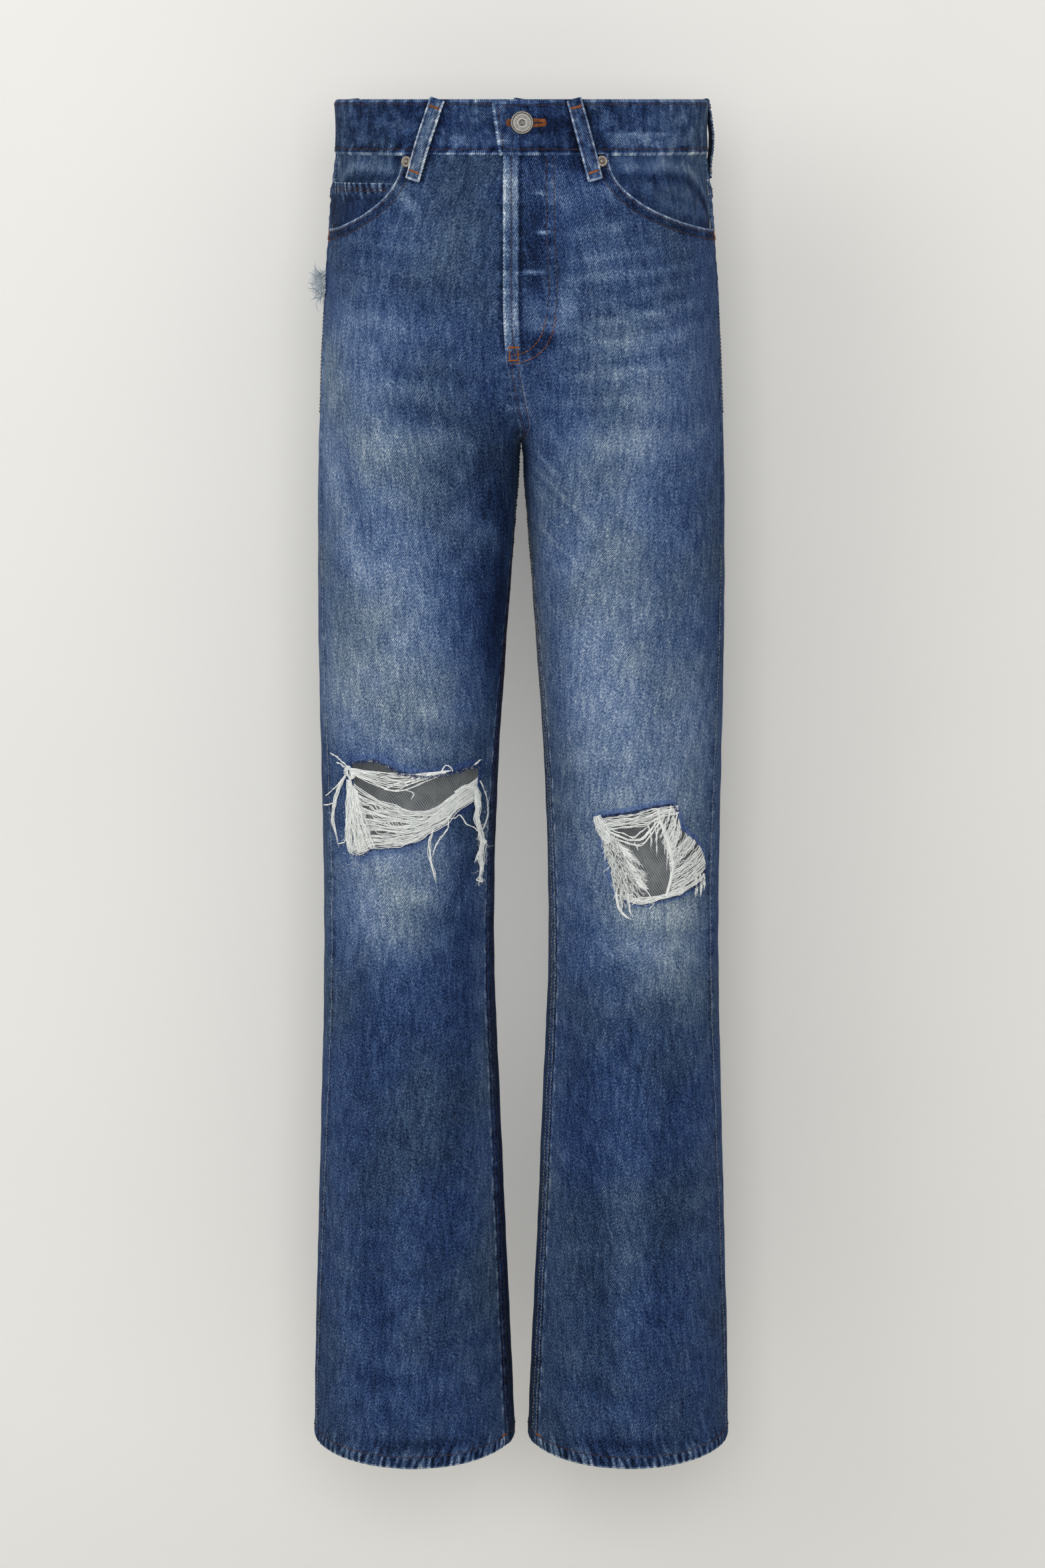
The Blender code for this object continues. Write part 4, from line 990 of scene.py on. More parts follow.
LEAST_FILLED = 0.31          # the least share of its flat rectangle that a sheet is said to fill


def mouth_places(side, turn):
    """(s, z) of the pocket mouth, a quarter turn from the waistband to the side seam."""
    z = -BAND_HEIGHT - MOUTH_DEPTH * np.sin(turn)
    start = MOUTH_START + front_start(side, z)
    return start + (side_seam(z) - start) * (1.0 - np.cos(turn)), z


def mouth_line(side, count=40):
    """The pocket mouth as (s, z) places, from the waistband to the side seam."""
    return pairs(*mouth_places(side, np.linspace(0.0, math.pi / 2, count + 1)))


MOUTHS = {side: mouth_line(side) for side in (1, -1)}


def run_along(points):
    """The distance along a line at each of its points."""
    return np.concatenate(([0.0], np.cumsum(np.linalg.norm(np.diff(points, axis=0), axis=1))))


# The fly's curved stitching: distance from the centre front's edge, and height.
FLY_CURVE_INNER = ((0.0331, -0.0405), (0.0336, -0.0990), (0.0345, -0.1600), (0.0322, -0.1745),
                   (0.0262, -0.1880), (0.0180, -0.1960), (0.0060, -0.2005), (-0.0010, -0.2010))
FLY_CURVE_OUTER = ((0.0394, -0.0405), (0.0399, -0.0990), (0.0411, -0.1620), (0.0388, -0.1790),
                   (0.0310, -0.1940), (0.0200, -0.2025), (0.0060, -0.2070), (-0.0010, -0.2075))


def smooth_path(points, count):
    """A smooth path of evenly spaced places through the given ones."""
    points = np.asarray(points, float)
    run = run_along(points)
    slopes = np.gradient(points, run, axis=0) if len(points) > 2 else np.tile(
        (points[1] - points[0]) / run[-1], (2, 1))
    at = np.linspace(0.0, run[-1], count)
    low = np.clip(np.searchsorted(run, at, side="right") - 1, 0, len(run) - 2)
    step = (run[low + 1] - run[low])[:, None]
    t = ((at - run[low])[:, None]) / step
    return hermite(t, step, points[low], slopes[low], points[low + 1], slopes[low + 1])


def fly_line(curve_points, count=60):
    """A line of the fly as (s, z) places on the wearer's left front."""
    across, z = smooth_path(curve_points, count).T
    return pairs(across - fly_shift(z), z)


FLY_INNER = fly_line(FLY_CURVE_INNER)
FLY_OUTER = fly_line(FLY_CURVE_OUTER)

# The tears at the knees: outlines as distance from the middle of the garment, and height.
TEARS = {
    "right": (
        (0.1388, -0.5352), (0.1290, -0.5332), (0.1214, -0.5317), (0.1103, -0.5350),
        (0.1016, -0.5398), (0.0918, -0.5425), (0.0820, -0.5448), (0.0716, -0.5441),
        (0.0581, -0.5427), (0.0499, -0.5407), (0.0396, -0.5389), (0.0352, -0.5425),
        (0.0362, -0.5560), (0.0397, -0.5690), (0.0436, -0.5722), (0.0550, -0.5765),
        (0.0583, -0.5815), (0.0626, -0.5860), (0.0735, -0.5916), (0.0812, -0.5970),
        (0.0872, -0.5998), (0.0971, -0.6032), (0.1131, -0.6050), (0.1226, -0.6070),
        (0.1320, -0.6130), (0.1385, -0.6110), (0.1393, -0.5940), (0.1380, -0.5740),
    ),
    "left": (
        (0.0628, -0.5806), (0.0711, -0.5776), (0.0814, -0.5758), (0.0918, -0.5744),
        (0.1022, -0.5717), (0.1126, -0.5698), (0.1237, -0.5690), (0.1282, -0.5755),
        (0.1308, -0.5900), (0.1385, -0.5970), (0.1470, -0.6071), (0.1500, -0.6146),
        (0.1513, -0.6258), (0.1515, -0.6350), (0.1420, -0.6425), (0.1278, -0.6470),
        (0.1133, -0.6496), (0.1028, -0.6520), (0.0929, -0.6510), (0.0820, -0.6490),
        (0.0775, -0.6400), (0.0740, -0.6276), (0.0690, -0.6098), (0.0672, -0.5940),
    ),
}
TEAR_SIDE = {"right": -1, "left": 1}
NAVY_BAND = {"right": 0.0062, "left": 0.0044}


def tear_outline(name):
    """A tear's ragged outline as (s, z) places, closed."""
    loop = np.array(TEARS[name] + (TEARS[name][0],))
    pieces = []
    for start, end in zip(loop[:-1], loop[1:]):
        count = max(int(np.hypot(*(end - start)) / 0.0011), 2)
        pieces.append(start + (end - start) * np.linspace(0.0, 1.0, count, endpoint=False)[:, None])
    path = np.concatenate(pieces)
    ragged = rng.normal(0.0, 0.00042, path.shape)
    ragged += 0.5 * np.roll(ragged, 1, axis=0)
    path = path + ragged
    path = np.concatenate((path, path[:1]))
    return np.array([(round_at_x(x, z), z) for x, z in path])


OUTLINES = {name: tear_outline(name) for name in TEARS}


def inside_loop(s, z, loop):
    """Which places lie inside a closed outline."""
    inside = np.zeros(np.shape(s), bool)
    for (s0, z0), (s1, z1) in zip(loop[:-1], loop[1:]):
        if z0 == z1:
            continue
        crosses = (z0 > z) != (z1 > z)
        inside ^= crosses & (s < s0 + (z - z0) * (s1 - s0) / (z1 - z0))
    return inside


def seam_profile(gap):
    """The groove of a pressed seam and the ridge beside it."""
    return SEAM_RIDGE * bell(gap, 0.0034, 0.0014) - SEAM_DIP * close_to(gap, 0.0009)


def seam_slack(gap, along, reach=0.006, wave=0.0105, depth=0.00028):
    """The small regular puckers that a stitched seam draws up."""
    drift = 1.7 * np.sin(along * 61.0) + 1.1 * np.sin(along * 143.0 + 2.0)
    return depth * np.sin(2 * math.pi * along / wave + drift) * bell(gap, 0.6 * reach, reach)


def roping(gap, along):
    """The slanting ridges of a turned and stitched hem."""
    slant = np.sin(2 * math.pi * (along / 0.0098 + gap / 0.0210) + 1.3 * np.sin(along * 47.0))
    return 0.00055 * slant * bell(gap, 0.0055, 0.0052)


def soft_bumps(points):
    """Slight unevenness of washed cloth, a few tenths of a millimetre."""
    x, y, z = points[..., 0], points[..., 1], points[..., 2]
    bumps = (np.sin(x * 83.0 + 3.0 * np.sin(z * 23.0))
             * np.sin(z * 61.0 + 2.0 * np.sin(x * 31.0 + y * 19.0)))
    bumps += (0.7 * np.sin(x * 171.0 + z * 97.0 + 2.0 * np.sin(z * 41.0))
              * np.sin(z * 133.0 - y * 71.0))
    return 0.00022 * bumps


def front_relief(side, s, z):
    """How far a front panel's right side stands off the skin."""
    base = skin(side, s, z)
    out = crease_depth(base) + soft_bumps(base)
    inward = s - front_start(side, z)
    outward = side_seam(z) - s
    below_mouth = step_down(MOUTH_FOOT_Z - 0.003, MOUTH_FOOT_Z + 0.001, z)
    out = out + below_mouth * (seam_profile(outward) + seam_slack(outward, z))
    mouth_gap, _ = near_line(s, z, MOUTHS[side])
    out = out + 0.0006 * step_down(MOUTH_HEM - 0.0008, MOUTH_HEM + 0.0004, mouth_gap)
    out = out - 0.0003 * close_to(mouth_gap, 0.0009)
    fly = smoothstep(FLY_FOOT_Z - 0.0015, FLY_FOOT_Z + 0.0015, z)
    if side > 0:
        strip = 0.0011 * step_down(FLY_STRIP - 0.0004, FLY_STRIP + 0.0006, inward)
        strip -= 0.0006 * bell(inward, FLY_STRIP + 0.0014, 0.0008)
        strip -= 0.0004 * close_to(inward, 0.0008)
        strip += seam_slack(inward - FLY_STRIP, z, 0.007, 0.019, 0.00045)
        curve_gap, curve_run = near_line(s, z, FLY_INNER)
        strip += seam_slack(curve_gap, curve_run, 0.007, 0.017, 0.00045)
    else:
        strip = -0.0013 * step_down(-0.0004, 0.0012, inward)
    out = out + fly * strip + (1.0 - fly) * (seam_profile(inward) + seam_slack(inward, z))
    hem_gap = z - HEM_Z
    out = out + roping(hem_gap, s) - 0.0004 * close_to(hem_gap, 0.0010)
    name = "left" if side > 0 else "right"
    near_tear = (z < TEAR_TOP_Z) & (z > TEAR_FOOT_Z)
    tear_gap = np.full(np.shape(out), 1.0)
    if near_tear.any():
        tear_gap[near_tear], _ = near_line(s[near_tear], z[near_tear], OUTLINES[name])
    out = out + 0.0011 * close_to(tear_gap, 0.0026) * (1.0 + 0.5 * np.sin(s * 390.0 + 3.0 * np.sin(s * 97.0)))
    return out - 0.0007 * bell(tear_gap, 0.0075, 0.0040)


def yoke_line(share):
    """Height of the yoke's seam, a share of the way from the side seam to the centre back."""
    return YOKE_SIDE_Z + (YOKE_CENTRE_Z - YOKE_SIDE_Z) * share


def yoke_seam(s, z):
    """Height of the yoke's seam, at a place on the back."""
    start = side_seam(z)
    return yoke_line((s - start) / (back_end(z) - start))


def back_relief(side, s, z):
    """How far a back panel's or yoke's right side stands off the skin."""
    base = skin(side, s, z)
    out = crease_depth(base) + soft_bumps(base)
    outward = s - side_seam(z)
    inward = back_end(z) - s
    out = out + seam_profile(outward) + seam_slack(outward, z)
    out = out + seam_profile(inward) + seam_slack(inward, z, 0.008, 0.012, 0.00034)
    over = z - yoke_seam(s, z)
    out = out + 0.0005 * smoothstep(0.0, 0.0010, over) * step_down(0.0105, 0.0125, over)
    out = out - 0.0005 * bell(over, -0.0006, 0.0007) + seam_slack(over, s, 0.006, 0.012, 0.00030)
    hem_gap = z - HEM_Z
    return out + roping(hem_gap, s) - 0.0004 * close_to(hem_gap, 0.0010)


def wall(z):
    """Thickness of a leg: denim, and the turned hem at the foot."""
    hem = step_down(HEM_Z + HEM_HEIGHT - 0.0010, HEM_Z + HEM_HEIGHT + 0.0002, z)
    return CLOTH + (HEM_WALL - CLOTH) * hem


def between(high, low, step):
    """Evenly spaced heights after the first one."""
    count = max(int(round((high - low) / step)), 1)
    return list(np.linspace(high, low, count + 1)[1:])


def lower_rows(tear_step):
    """Row heights from the foot of the pocket mouth to the hem."""
    turn = np.linspace(0.0, math.pi / 2, 35)[1:]
    rows = between(MOUTH_FOOT_Z, RISE_TOP_Z, 0.0032)
    rows += list(RISE_TOP_Z + (CROTCH_Z - RISE_TOP_Z) * np.sin(turn))
    rows += between(CROTCH_Z, TEAR_TOP_Z, 0.0034)
    rows += between(TEAR_TOP_Z, TEAR_FOOT_Z, tear_step)
    rows += between(TEAR_FOOT_Z, HEM_Z + HEM_HEIGHT, 0.0034)
    return rows + between(HEM_Z + HEM_HEIGHT, HEM_Z, 0.0021)


def snap_to(s, z, open_cells, loop):
    """Move the rim of the open cells onto an outline."""
    shut = ~open_cells
    touches_open = np.zeros(s.shape, bool)
    touches_shut = np.zeros(s.shape, bool)
    for down in (0, 1):
        for right in (0, 1):
            part = (slice(down, s.shape[0] - 1 + down), slice(right, s.shape[1] - 1 + right))
            touches_open[part] |= open_cells
            touches_shut[part] |= shut
    for row, col in zip(*np.nonzero(touches_open & touches_shut)):
        at = np.array((s[row, col], z[row, col]))
        start, way = loop[:-1], np.diff(loop, axis=0)
        t = ((at - start) * way).sum(axis=1) / np.maximum((way**2).sum(axis=1), 1e-14)
        near = start + way * np.clip(t, 0.0, 1.0)[:, None]
        best = near[np.argmin(np.hypot(*(near - at).T))]
        s[row, col], z[row, col] = best


def seam_wear_and_painted_light(side, inward, outward, mouth_gap, z):
    """Paler and darker lines along a front panel's pocket mouth, inseam and outseam: wear, with painted light
    over the inner legs and painted shadow beside the fly.
    """
    hem_strip = smoothstep(0.0024, 0.0034, mouth_gap) * step_down(0.0078, 0.0092, mouth_gap)
    wear = 0.16 * close_to(mouth_gap, 0.0016) - 0.15 * hem_strip
    leg = step_down(CROTCH_Z - 0.004, CROTCH_Z + 0.010, z)
    uneven = 0.5 + 0.5 * np.sin(z * 395.0 + 2.0 * np.sin(z * 87.0))
    inseam = 0.34 * uneven * bell(inward, 0.0070, 0.0016) - 0.17 * step_down(0.0046, 0.0062, inward)
    # painted light: the inner leg paler near the inseam, more on the wearer's right leg, where the other leg
    # keeps light off
    inseam = inseam + (0.15 if side < 0 else 0.06) * step_down(0.010, 0.034, inward)
    outseam = 0.13 * uneven * bell(outward, 0.0012, 0.0010) - 0.07 * bell(outward, 0.0042, 0.0022)
    wear = wear + leg * inseam + outseam * (z < MOUTH_FOOT_Z)
    fly = smoothstep(FLY_FOOT_Z - 0.0015, FLY_FOOT_Z + 0.0015, z)
    if side < 0:
        # painted shadow: dark along the wearer's right front where the fly's edge overhangs it
        return wear - 0.25 * fly * close_to(inward, 0.0036)
    strip = 0.13 * step_down(FLY_STRIP - 0.0004, FLY_STRIP + 0.0004, inward)
    # painted shadow in the groove just past the fly's raised strip, and a darker line beside its stitches
    strip = strip - 0.22 * bell(inward, FLY_STRIP + 0.0020, 0.0016) - 0.14 * bell(inward, 0.0050, 0.0012)
    seam = 0.20 * bell(inward, 0.0092, 0.0012) - 0.16 * close_to(inward, 0.0012)
    return wear + fly * strip + (1.0 - fly) * (1.0 - leg) * seam


def beside_loops_unfaded_and_shaded(side, s, z):
    """Darker cloth beside the belt loops: denim they keep from fading, and painted shadow that they cast."""
    shade = np.zeros(np.shape(s))
    down = np.clip((LOOP_TOP_Z - z) / (LOOP_TOP_Z - LOOP_FOOT_Z), 0.0, 1.0)
    below = np.maximum(LOOP_FOOT_Z - z, 0.0)
    for loop in LOOPS:
        if loop["side"] == side:
            gap = np.abs(s - loop["top"] - (loop["foot"] - loop["top"]) * down) - 0.45 * LOOP_WIDTH
            shade = shade - 0.24 * np.exp(-(np.maximum(gap, 0.0) / 0.0034) ** 2 - (below / 0.0030) ** 2)
    return shade


def band_gap(z):
    """Distance below the line just behind the waistband's foot."""
    return -BAND_HEIGHT - z + 0.002


def front_panel(name, side):
    """A front of the jeans, open at the knee where the tear is."""
    line = mouth_line(side, 36)
    z_rows = np.concatenate((line[:, 1], lower_rows(0.0019)))
    ends = np.concatenate((line[:, 0], side_seam(z_rows[len(line):]) + LAP))
    under_fly = FRONT_LAP * smoothstep(FLY_FOOT_Z - 0.02, FLY_FOOT_Z, z_rows)
    starts = front_start(side, z_rows) - (LAP if side > 0 else np.maximum(LAP, under_fly))
    s = starts[:, None] + (ends - starts)[:, None] * spread(PANEL_COLUMNS, CROWDING)
    z = np.repeat(z_rows[:, None], PANEL_COLUMNS + 1, axis=1)
    z[0] = PANEL_TOP_Z
    loop = OUTLINES[name]
    middle = [(a[:-1, :-1] + a[1:, :-1] + a[:-1, 1:] + a[1:, 1:]) / 4 for a in (s, z)]
    open_cells = inside_loop(*middle, loop)
    snap_to(s, z, open_cells, loop)
    outer = front_relief(side, s, z)
    inward = np.maximum(s - front_start(side, z), 0.0)
    outward = np.maximum(side_seam(z) - s, 0.0) + NO_EDGE * (z > MOUTH_FOOT_Z)
    mouth_gap, mouth_run = near_line(s, z, MOUTHS[side])
    edges = [(outward, z, 0.60), (inward, z, 0.60), (mouth_gap, mouth_run, 0.6),
             (band_gap(z), s, 0.5), (z - HEM_Z, s, 1.6)]
    if side > 0:
        strip = np.abs(inward - FLY_STRIP) + NO_EDGE * (z < FLY_FOOT_Z)
        curve_gap, curve_run = near_line(s, z, (FLY_INNER + FLY_OUTER) / 2)
        edges += [(strip, z, 0.45), (curve_gap + 0.0022, curve_run, 0.7)]
    tear_gap, _ = near_line(s, z, loop)
    fade = (wash_and_painted_light(skin(side, s, z)) + seam_wear_and_painted_light(side, inward, outward, mouth_gap, z)
            + beside_loops_unfaded_and_shaded(side, s, z))
    navy = step_down(0.5 * NAVY_BAND[name], 1.2 * NAVY_BAND[name], tear_gap)
    lay_cloth("front_" + name, side, s, z, outer, outer - wall(z), edges, "denim_washed",
              ("cloth_waistband",), fade=fade, open_cells=open_cells, torn=navy)


def back_places(z, share):
    """How far round places on the back lie, by their share of the way from its side seam."""
    start = side_seam(z) - LAP
    return start + (back_end(z) + LAP - start) * share


def back_edges(s, z):
    """The side seam and the centre back as edges for nearest_edge."""
    return [(np.maximum(s - side_seam(z), 0.0), z, 0.42), (np.maximum(back_end(z) - s, 0.0), z, 0.5)]


def back_panel(name, side):
    """A back of the jeans, from the yoke's seam to the hem."""
    share = spread(BACK_COLUMNS, CROWDING)
    seam = yoke_line(share)
    foot_rows = lower_rows(0.0034)
    rows = [seam + 0.0010]
    rows += [seam + (foot_rows[0] - 0.010 - seam) * k for k in np.linspace(0.0, 1.0, 13)]
    rows += [np.full(share.shape, v) for v in foot_rows if v < foot_rows[0] - 0.011]
    z = np.array(rows)
    s = back_places(z, share)
    over = z - yoke_seam(s, z)
    outer = back_relief(side, s, z) - 0.0012 * smoothstep(-0.0004, 0.0010, over)
    edges = back_edges(s, z) + [(np.maximum(-over, 0.0), s, 0.5), (z - HEM_Z, s, 0.9)]
    lay_cloth("back_" + name, side, s, z, outer, outer - wall(z), edges, "denim_washed",
              ("cloth_yoke_" + name,))


def yoke(name, side):
    """The piece between the waistband and a back panel."""
    share = spread(BACK_COLUMNS, CROWDING)
    z = PANEL_TOP_Z + (yoke_line(share) - PANEL_TOP_Z) * spread(18, 0.4)[:, None]
    s = back_places(z, share)
    outer = back_relief(side, s, z) + YOKE_PROUD
    edges = back_edges(s, z) + [(np.maximum(z - yoke_seam(s, z), 0.0), s, 0.75), (band_gap(z), s, 0.4)]
    lay_cloth("yoke_" + name, side, s, z, outer, outer - CLOTH, edges, "denim_washed",
              ("cloth_waistband",))


def facing_fold(side, s, z):
    """The arched slack of the pocket facing, behind the mouth: its lift, and a painted highlight along its
    crest with painted shadow under it.
    """
    start = MOUTH_START + front_start(side, z)
    share = np.clip((s - start) / (side_seam(z) - start), 0.0, 1.0)
    arch = z + 0.0565 + 0.040 * np.clip(2.0 * share - 1.0, 0.0, 1.0) ** 2
    lift = 0.0011 * bell(arch, 0.0030, 0.0060) * smoothstep(0.1, 0.45, share)
    # painted highlight along the fold's crest and painted shadow under it
    shade = 0.11 * bell(arch, 0.0050, 0.0050) - 0.17 * bell(arch, -0.0040, 0.0045)
    return lift, shade * smoothstep(-0.05, 0.15, share)


def pocket_facing(name, side):
    """The dark cloth that shows inside a front pocket's mouth."""
    down = np.linspace(0.0, 1.0, 39)[:, None]
    z = PANEL_TOP_Z + (MOUTH_FOOT_Z - FACING_TUCK - PANEL_TOP_Z) * down
    start = MOUTH_START + front_start(side, z) - FACING_TUCK
    s = start + (side_seam(z) + LAP - start) * np.linspace(0.0, 1.0, 53)
    z = np.broadcast_to(z, s.shape)
    top, foot = FACING_BEHIND
    mouth_gap, mouth_run = near_line(s, z, MOUTHS[side])
    away = smoothstep(0.0040, 0.0110, mouth_gap)
    lift, shade = facing_fold(side, s, z)
    outward = np.maximum(side_seam(z) - s, 0.0)
    outer = (top + (foot - top) * np.clip(2.0 * down, 0.0, 1.0) + lift * away
             + 0.0010 * smoothstep(0.006, 0.001, outward) * smoothstep(MOUTH_FOOT_Z, -0.07, z))
    edges = [(outward, z, 0.45), (band_gap(z), s, 0.4), (mouth_gap + 0.004, mouth_run, -0.3)]
    # painted shadow: darker close to the mouth, under its edge; the fold adds its painted highlight and
    # shadow
    fade = (wash_and_painted_light(skin(side, s, z)) + 0.06 * smoothstep(-0.085, -0.055, z)
            - 0.10 * (1.0 - away) + shade)
    lay_cloth("pocket_facing_" + name, side, s, z, outer, outer - TRIM_CLOTH, edges, "denim_dark",
              ("cloth_waistband",), "cloth_facing_" + name, ("facing", "wrong_side"), fade=fade)


COIN_TOP_TURN, COIN_FOOT_TURN = 2 * math.pi / 16, 6 * math.pi / 16
COIN_OUT = 0.0004


def coin_pocket():
    """The small pocket on the wearer's right facing."""
    side = -1
    start, z = mouth_places(side, np.linspace(COIN_TOP_TURN, COIN_FOOT_TURN, 30))
    start = start + 0.0002
    s = start[:, None] + (side_seam(z) + 0.0002 - start)[:, None] * np.linspace(0.0, 1.0, 47)
    z = np.repeat(z[:, None], 47, axis=1)
    top_gap = z[0, 0] - z
    outward = side_seam(z) - s
    mouth_gap, mouth_run = near_line(s, z, MOUTHS[side])
    outer = (-COIN_OUT + 0.0007 * step_down(0.0085, 0.0100, top_gap) + seam_slack(top_gap, s)
             + 0.0006 * smoothstep(0.020, 0.004, outward) * step_down(0.010, 0.026, top_gap)
             - 0.0006 * close_to(mouth_gap, 0.0020))
    edges = [(top_gap + 0.0008, s, 1.5), (outward, z, 0.5), (mouth_gap + 0.003, mouth_run, -0.3)]
    fade = wash_and_painted_light(skin(side, s, z)) - 0.13 + 0.10 * step_down(0.0085, 0.0110, top_gap)
    lay_cloth("coin_pocket", side, s, z, outer, outer - TRIM_CLOTH, edges, "denim_dark",
              ("cloth_facing_right",), looks=("dark", "wrong_side"), fade=fade)


def fly_placket():
    """The cloth behind the fly's opening."""
    z = np.linspace(PANEL_TOP_Z, PLACKET_FOOT_Z, 60)[:, None]
    s = np.linspace(-0.010, PLACKET_WIDTH, 26) - fly_shift(z)
    z = np.broadcast_to(z, s.shape)
    outer = -0.0021 + soft_bumps(skin(1, s, z))
    edges = [(s - s[:, :1], z, 0.5), (s[:, -1:] - s, z, 0.5)]
    lay_cloth("fly_placket", 1, s, z, outer, outer - TRIM_CLOTH, edges, "denim_dark",
              ("cloth_waistband",), looks=("dark", "dark"))


POCKET_OUT = POCKET_LIFT + TRIM_CLOTH


def pocket_places(across, down):
    """(s, z) of places on a back pocket, from its middle and its top."""
    depth = BACK_POCKET_DEPTH - BACK_POCKET_POINT * 2 * np.abs(across)
    z = BACK_POCKET_TOP_Z - depth * down
    width = BACK_POCKET_WIDTH * (1.0 - BACK_POCKET_TAPER * down)
    return side_seam(z) + BACK_POCKET_CENTRE + across * width, z


def pocket_relief(side, s, z, gap):
    """How far a back pocket stands off the skin, gap away from its edge."""
    base = skin(side, s, z)
    out = POCKET_OUT + crease_depth(base) + soft_bumps(base)
    return out + 0.0004 * bell(gap, 0.006, 0.006) - 0.0005 * close_to(gap, 0.0009)


def back_pocket(name, side):
    """A patch pocket on a back panel, its foot drawn to a point."""
    s, z = pocket_places(spread(54, 0.5)[None, :] - 0.5, spread(60, 0.4)[:, None])
    rim = np.concatenate([pairs(s[part], z[part]) for part in (
        (0, slice(None)), (slice(None), -1), (-1, slice(None, None, -1)), (slice(None, None, -1), 0))])
    gap, run = near_line(s, z, rim)
    top_gap = BACK_POCKET_TOP_Z - z
    outer = (pocket_relief(side, s, z, gap) + seam_slack(gap, run, 0.006, 0.012, 0.0003)
             + 0.0005 * step_down(0.0125, 0.0140, top_gap))
    edges = [(top_gap, s, 0.95), (gap, run, 0.8)]
    lay_cloth("back_pocket_" + name, side, s, z, outer, outer - TRIM_CLOTH, edges, "denim_washed",
              ("cloth_back_" + name,))


OVERLAP_DIP = 0.0013


def overlap_edge(z):
    """How far round the overlapping end of the waistband lies."""
    return OVERLAP_TOP + (OVERLAP_FOOT - OVERLAP_TOP) * -z / BAND_HEIGHT


def overlap_dip(s, z):
    """How far the waistband's top sags towards its overlapping end."""
    return OVERLAP_DIP * step_down(0.012, 0.030, s) * smoothstep(-BAND_HEIGHT, -0.010, z)


def band_relief(s, z):
    """How far the waistband's right side stands off the skin."""
    top_gap, foot_gap = -z, z + BAND_HEIGHT
    out = BAND_PROUD + BAND_STEP * step_down(*OVERLAP_RAMP, s)
    for gap in (top_gap, foot_gap, s - overlap_edge(z)):
        out = out - 0.0006 * close_to(gap, 0.0010)
    out = out + 0.0004 * bell(foot_gap, 0.0018, 0.0011) + 0.0002 * bell(top_gap, 0.0040, 0.0016)
    return (out + seam_slack(foot_gap, s, 0.009, 0.0115, 0.00042)
            + seam_slack(top_gap, s, 0.006, 0.013, 0.00025) + 0.5 * soft_bumps(skin(1, s, z)))


def waistband():
    """The waistband, once round, its wearer's left end over the other."""
    around = 2 * float(ring_length(0.0)) + UNDERLAP_END - OVERLAP_TOP
    share = np.concatenate((np.linspace(0.0, 0.058, 42), np.linspace(0.058, around, 330)[1:])) / around
    z = (-BAND_HEIGHT * spread(24, CROWDING))[:, None]
    begin = overlap_edge(z)
    s = begin + (2 * ring_length(z) + UNDERLAP_END - begin) * share
    z = np.broadcast_to(z, s.shape)
    outer = band_relief(s, z)
    edges = [(-z, s, 0.62), (z + BAND_HEIGHT, s, 1.0), (s - begin, z, 1.0)]
    x = skin(1, s, z)[..., 0]
    fold_reach = smoothstep(0.064, 0.072, x) * step_down(0.105, 0.135, x)
    fold_reach = fold_reach * smoothstep(-0.0395, -0.0370, z)
    fade = (BASE_FADE + 0.02 + 0.10 * smoothstep(0.04, 0.12, x) + 0.07 * bell(x, -0.045, 0.020)
            - 0.05 - 0.12 * bell(x, 0.030, 0.024) + 0.10 * bell(s - begin, 0.0012, 0.0016)
            - 0.10 * bell(z + BAND_HEIGHT, 0.0042, 0.0018) + beside_loops_unfaded_and_shaded(1, s, z)
            + 0.13 * bell(x, -0.028, 0.036) * bell(z, -0.0320, 0.0045)
            - 0.10 * bell(x, -0.069, 0.012) * smoothstep(-0.028, -0.018, z)
            + fold_reach * (0.11 * smoothstep(-0.0250, -0.0262, z) + 0.10 * bell(z, -0.0262, 0.0012))
            + beside_loops_unfaded_and_shaded(-1, 2 * ring_length(z) - s, z))
    lay_cloth("waistband", 1, s, z - overlap_dip(s, z), outer, outer - BAND_WALL, edges,
              "denim_band", ("cloth_yoke_left", "cloth_yoke_right"), looks=("band", "band"), fade=fade)


# ---- belt loops -------------------------------------------------------------------
WAIST_OUTERMOST = float(outermost(0.0))
LOOPS = [dict(zip(("name", "side", "top", "foot", "slack", "fade"), row)) for row in (
    ("front_right", -1, 0.0665, 0.0870, 1.0, 0.53),
    ("front_left", 1, 0.0418, 0.0588, 1.0, 0.42),
    # painted shade: the loop at the garment's shaded side gets a much lower last number than the rest
    ("side_left", 1, WAIST_OUTERMOST + 0.010, WAIST_OUTERMOST + 0.014, 1.6, 0.20),
    ("side_right", -1, WAIST_OUTERMOST + 0.040, WAIST_OUTERMOST + 0.044, 1.4, 0.36),
    ("back", 1, float(ring_length(0.0)), float(ring_length(LOOP_FOOT_Z)), 1.3, 0.42),
)]
LOOP_RUN = 0.066             # a belt loop's length along itself, with its bow
LOOP_BOW_SHARES = (0.0, 0.2, 0.45, 0.65, 0.84, 1.0)
LOOP_BOW = (0.0014, 0.0028, 0.0040, 0.0036, 0.0018, 0.0008)


def loop_places(loop, down, across):
    """(s, z) of places on a belt loop; across is from -0.5 to 0.5."""
    drop = LOOP_TOP_Z - LOOP_FOOT_Z
    run = math.hypot(loop["foot"] - loop["top"], drop)
    s = loop["top"] + (loop["foot"] - loop["top"]) * down + across * LOOP_WIDTH * drop / run
    return s, LOOP_TOP_Z - drop * down + across * LOOP_WIDTH * (loop["foot"] - loop["top"]) / run


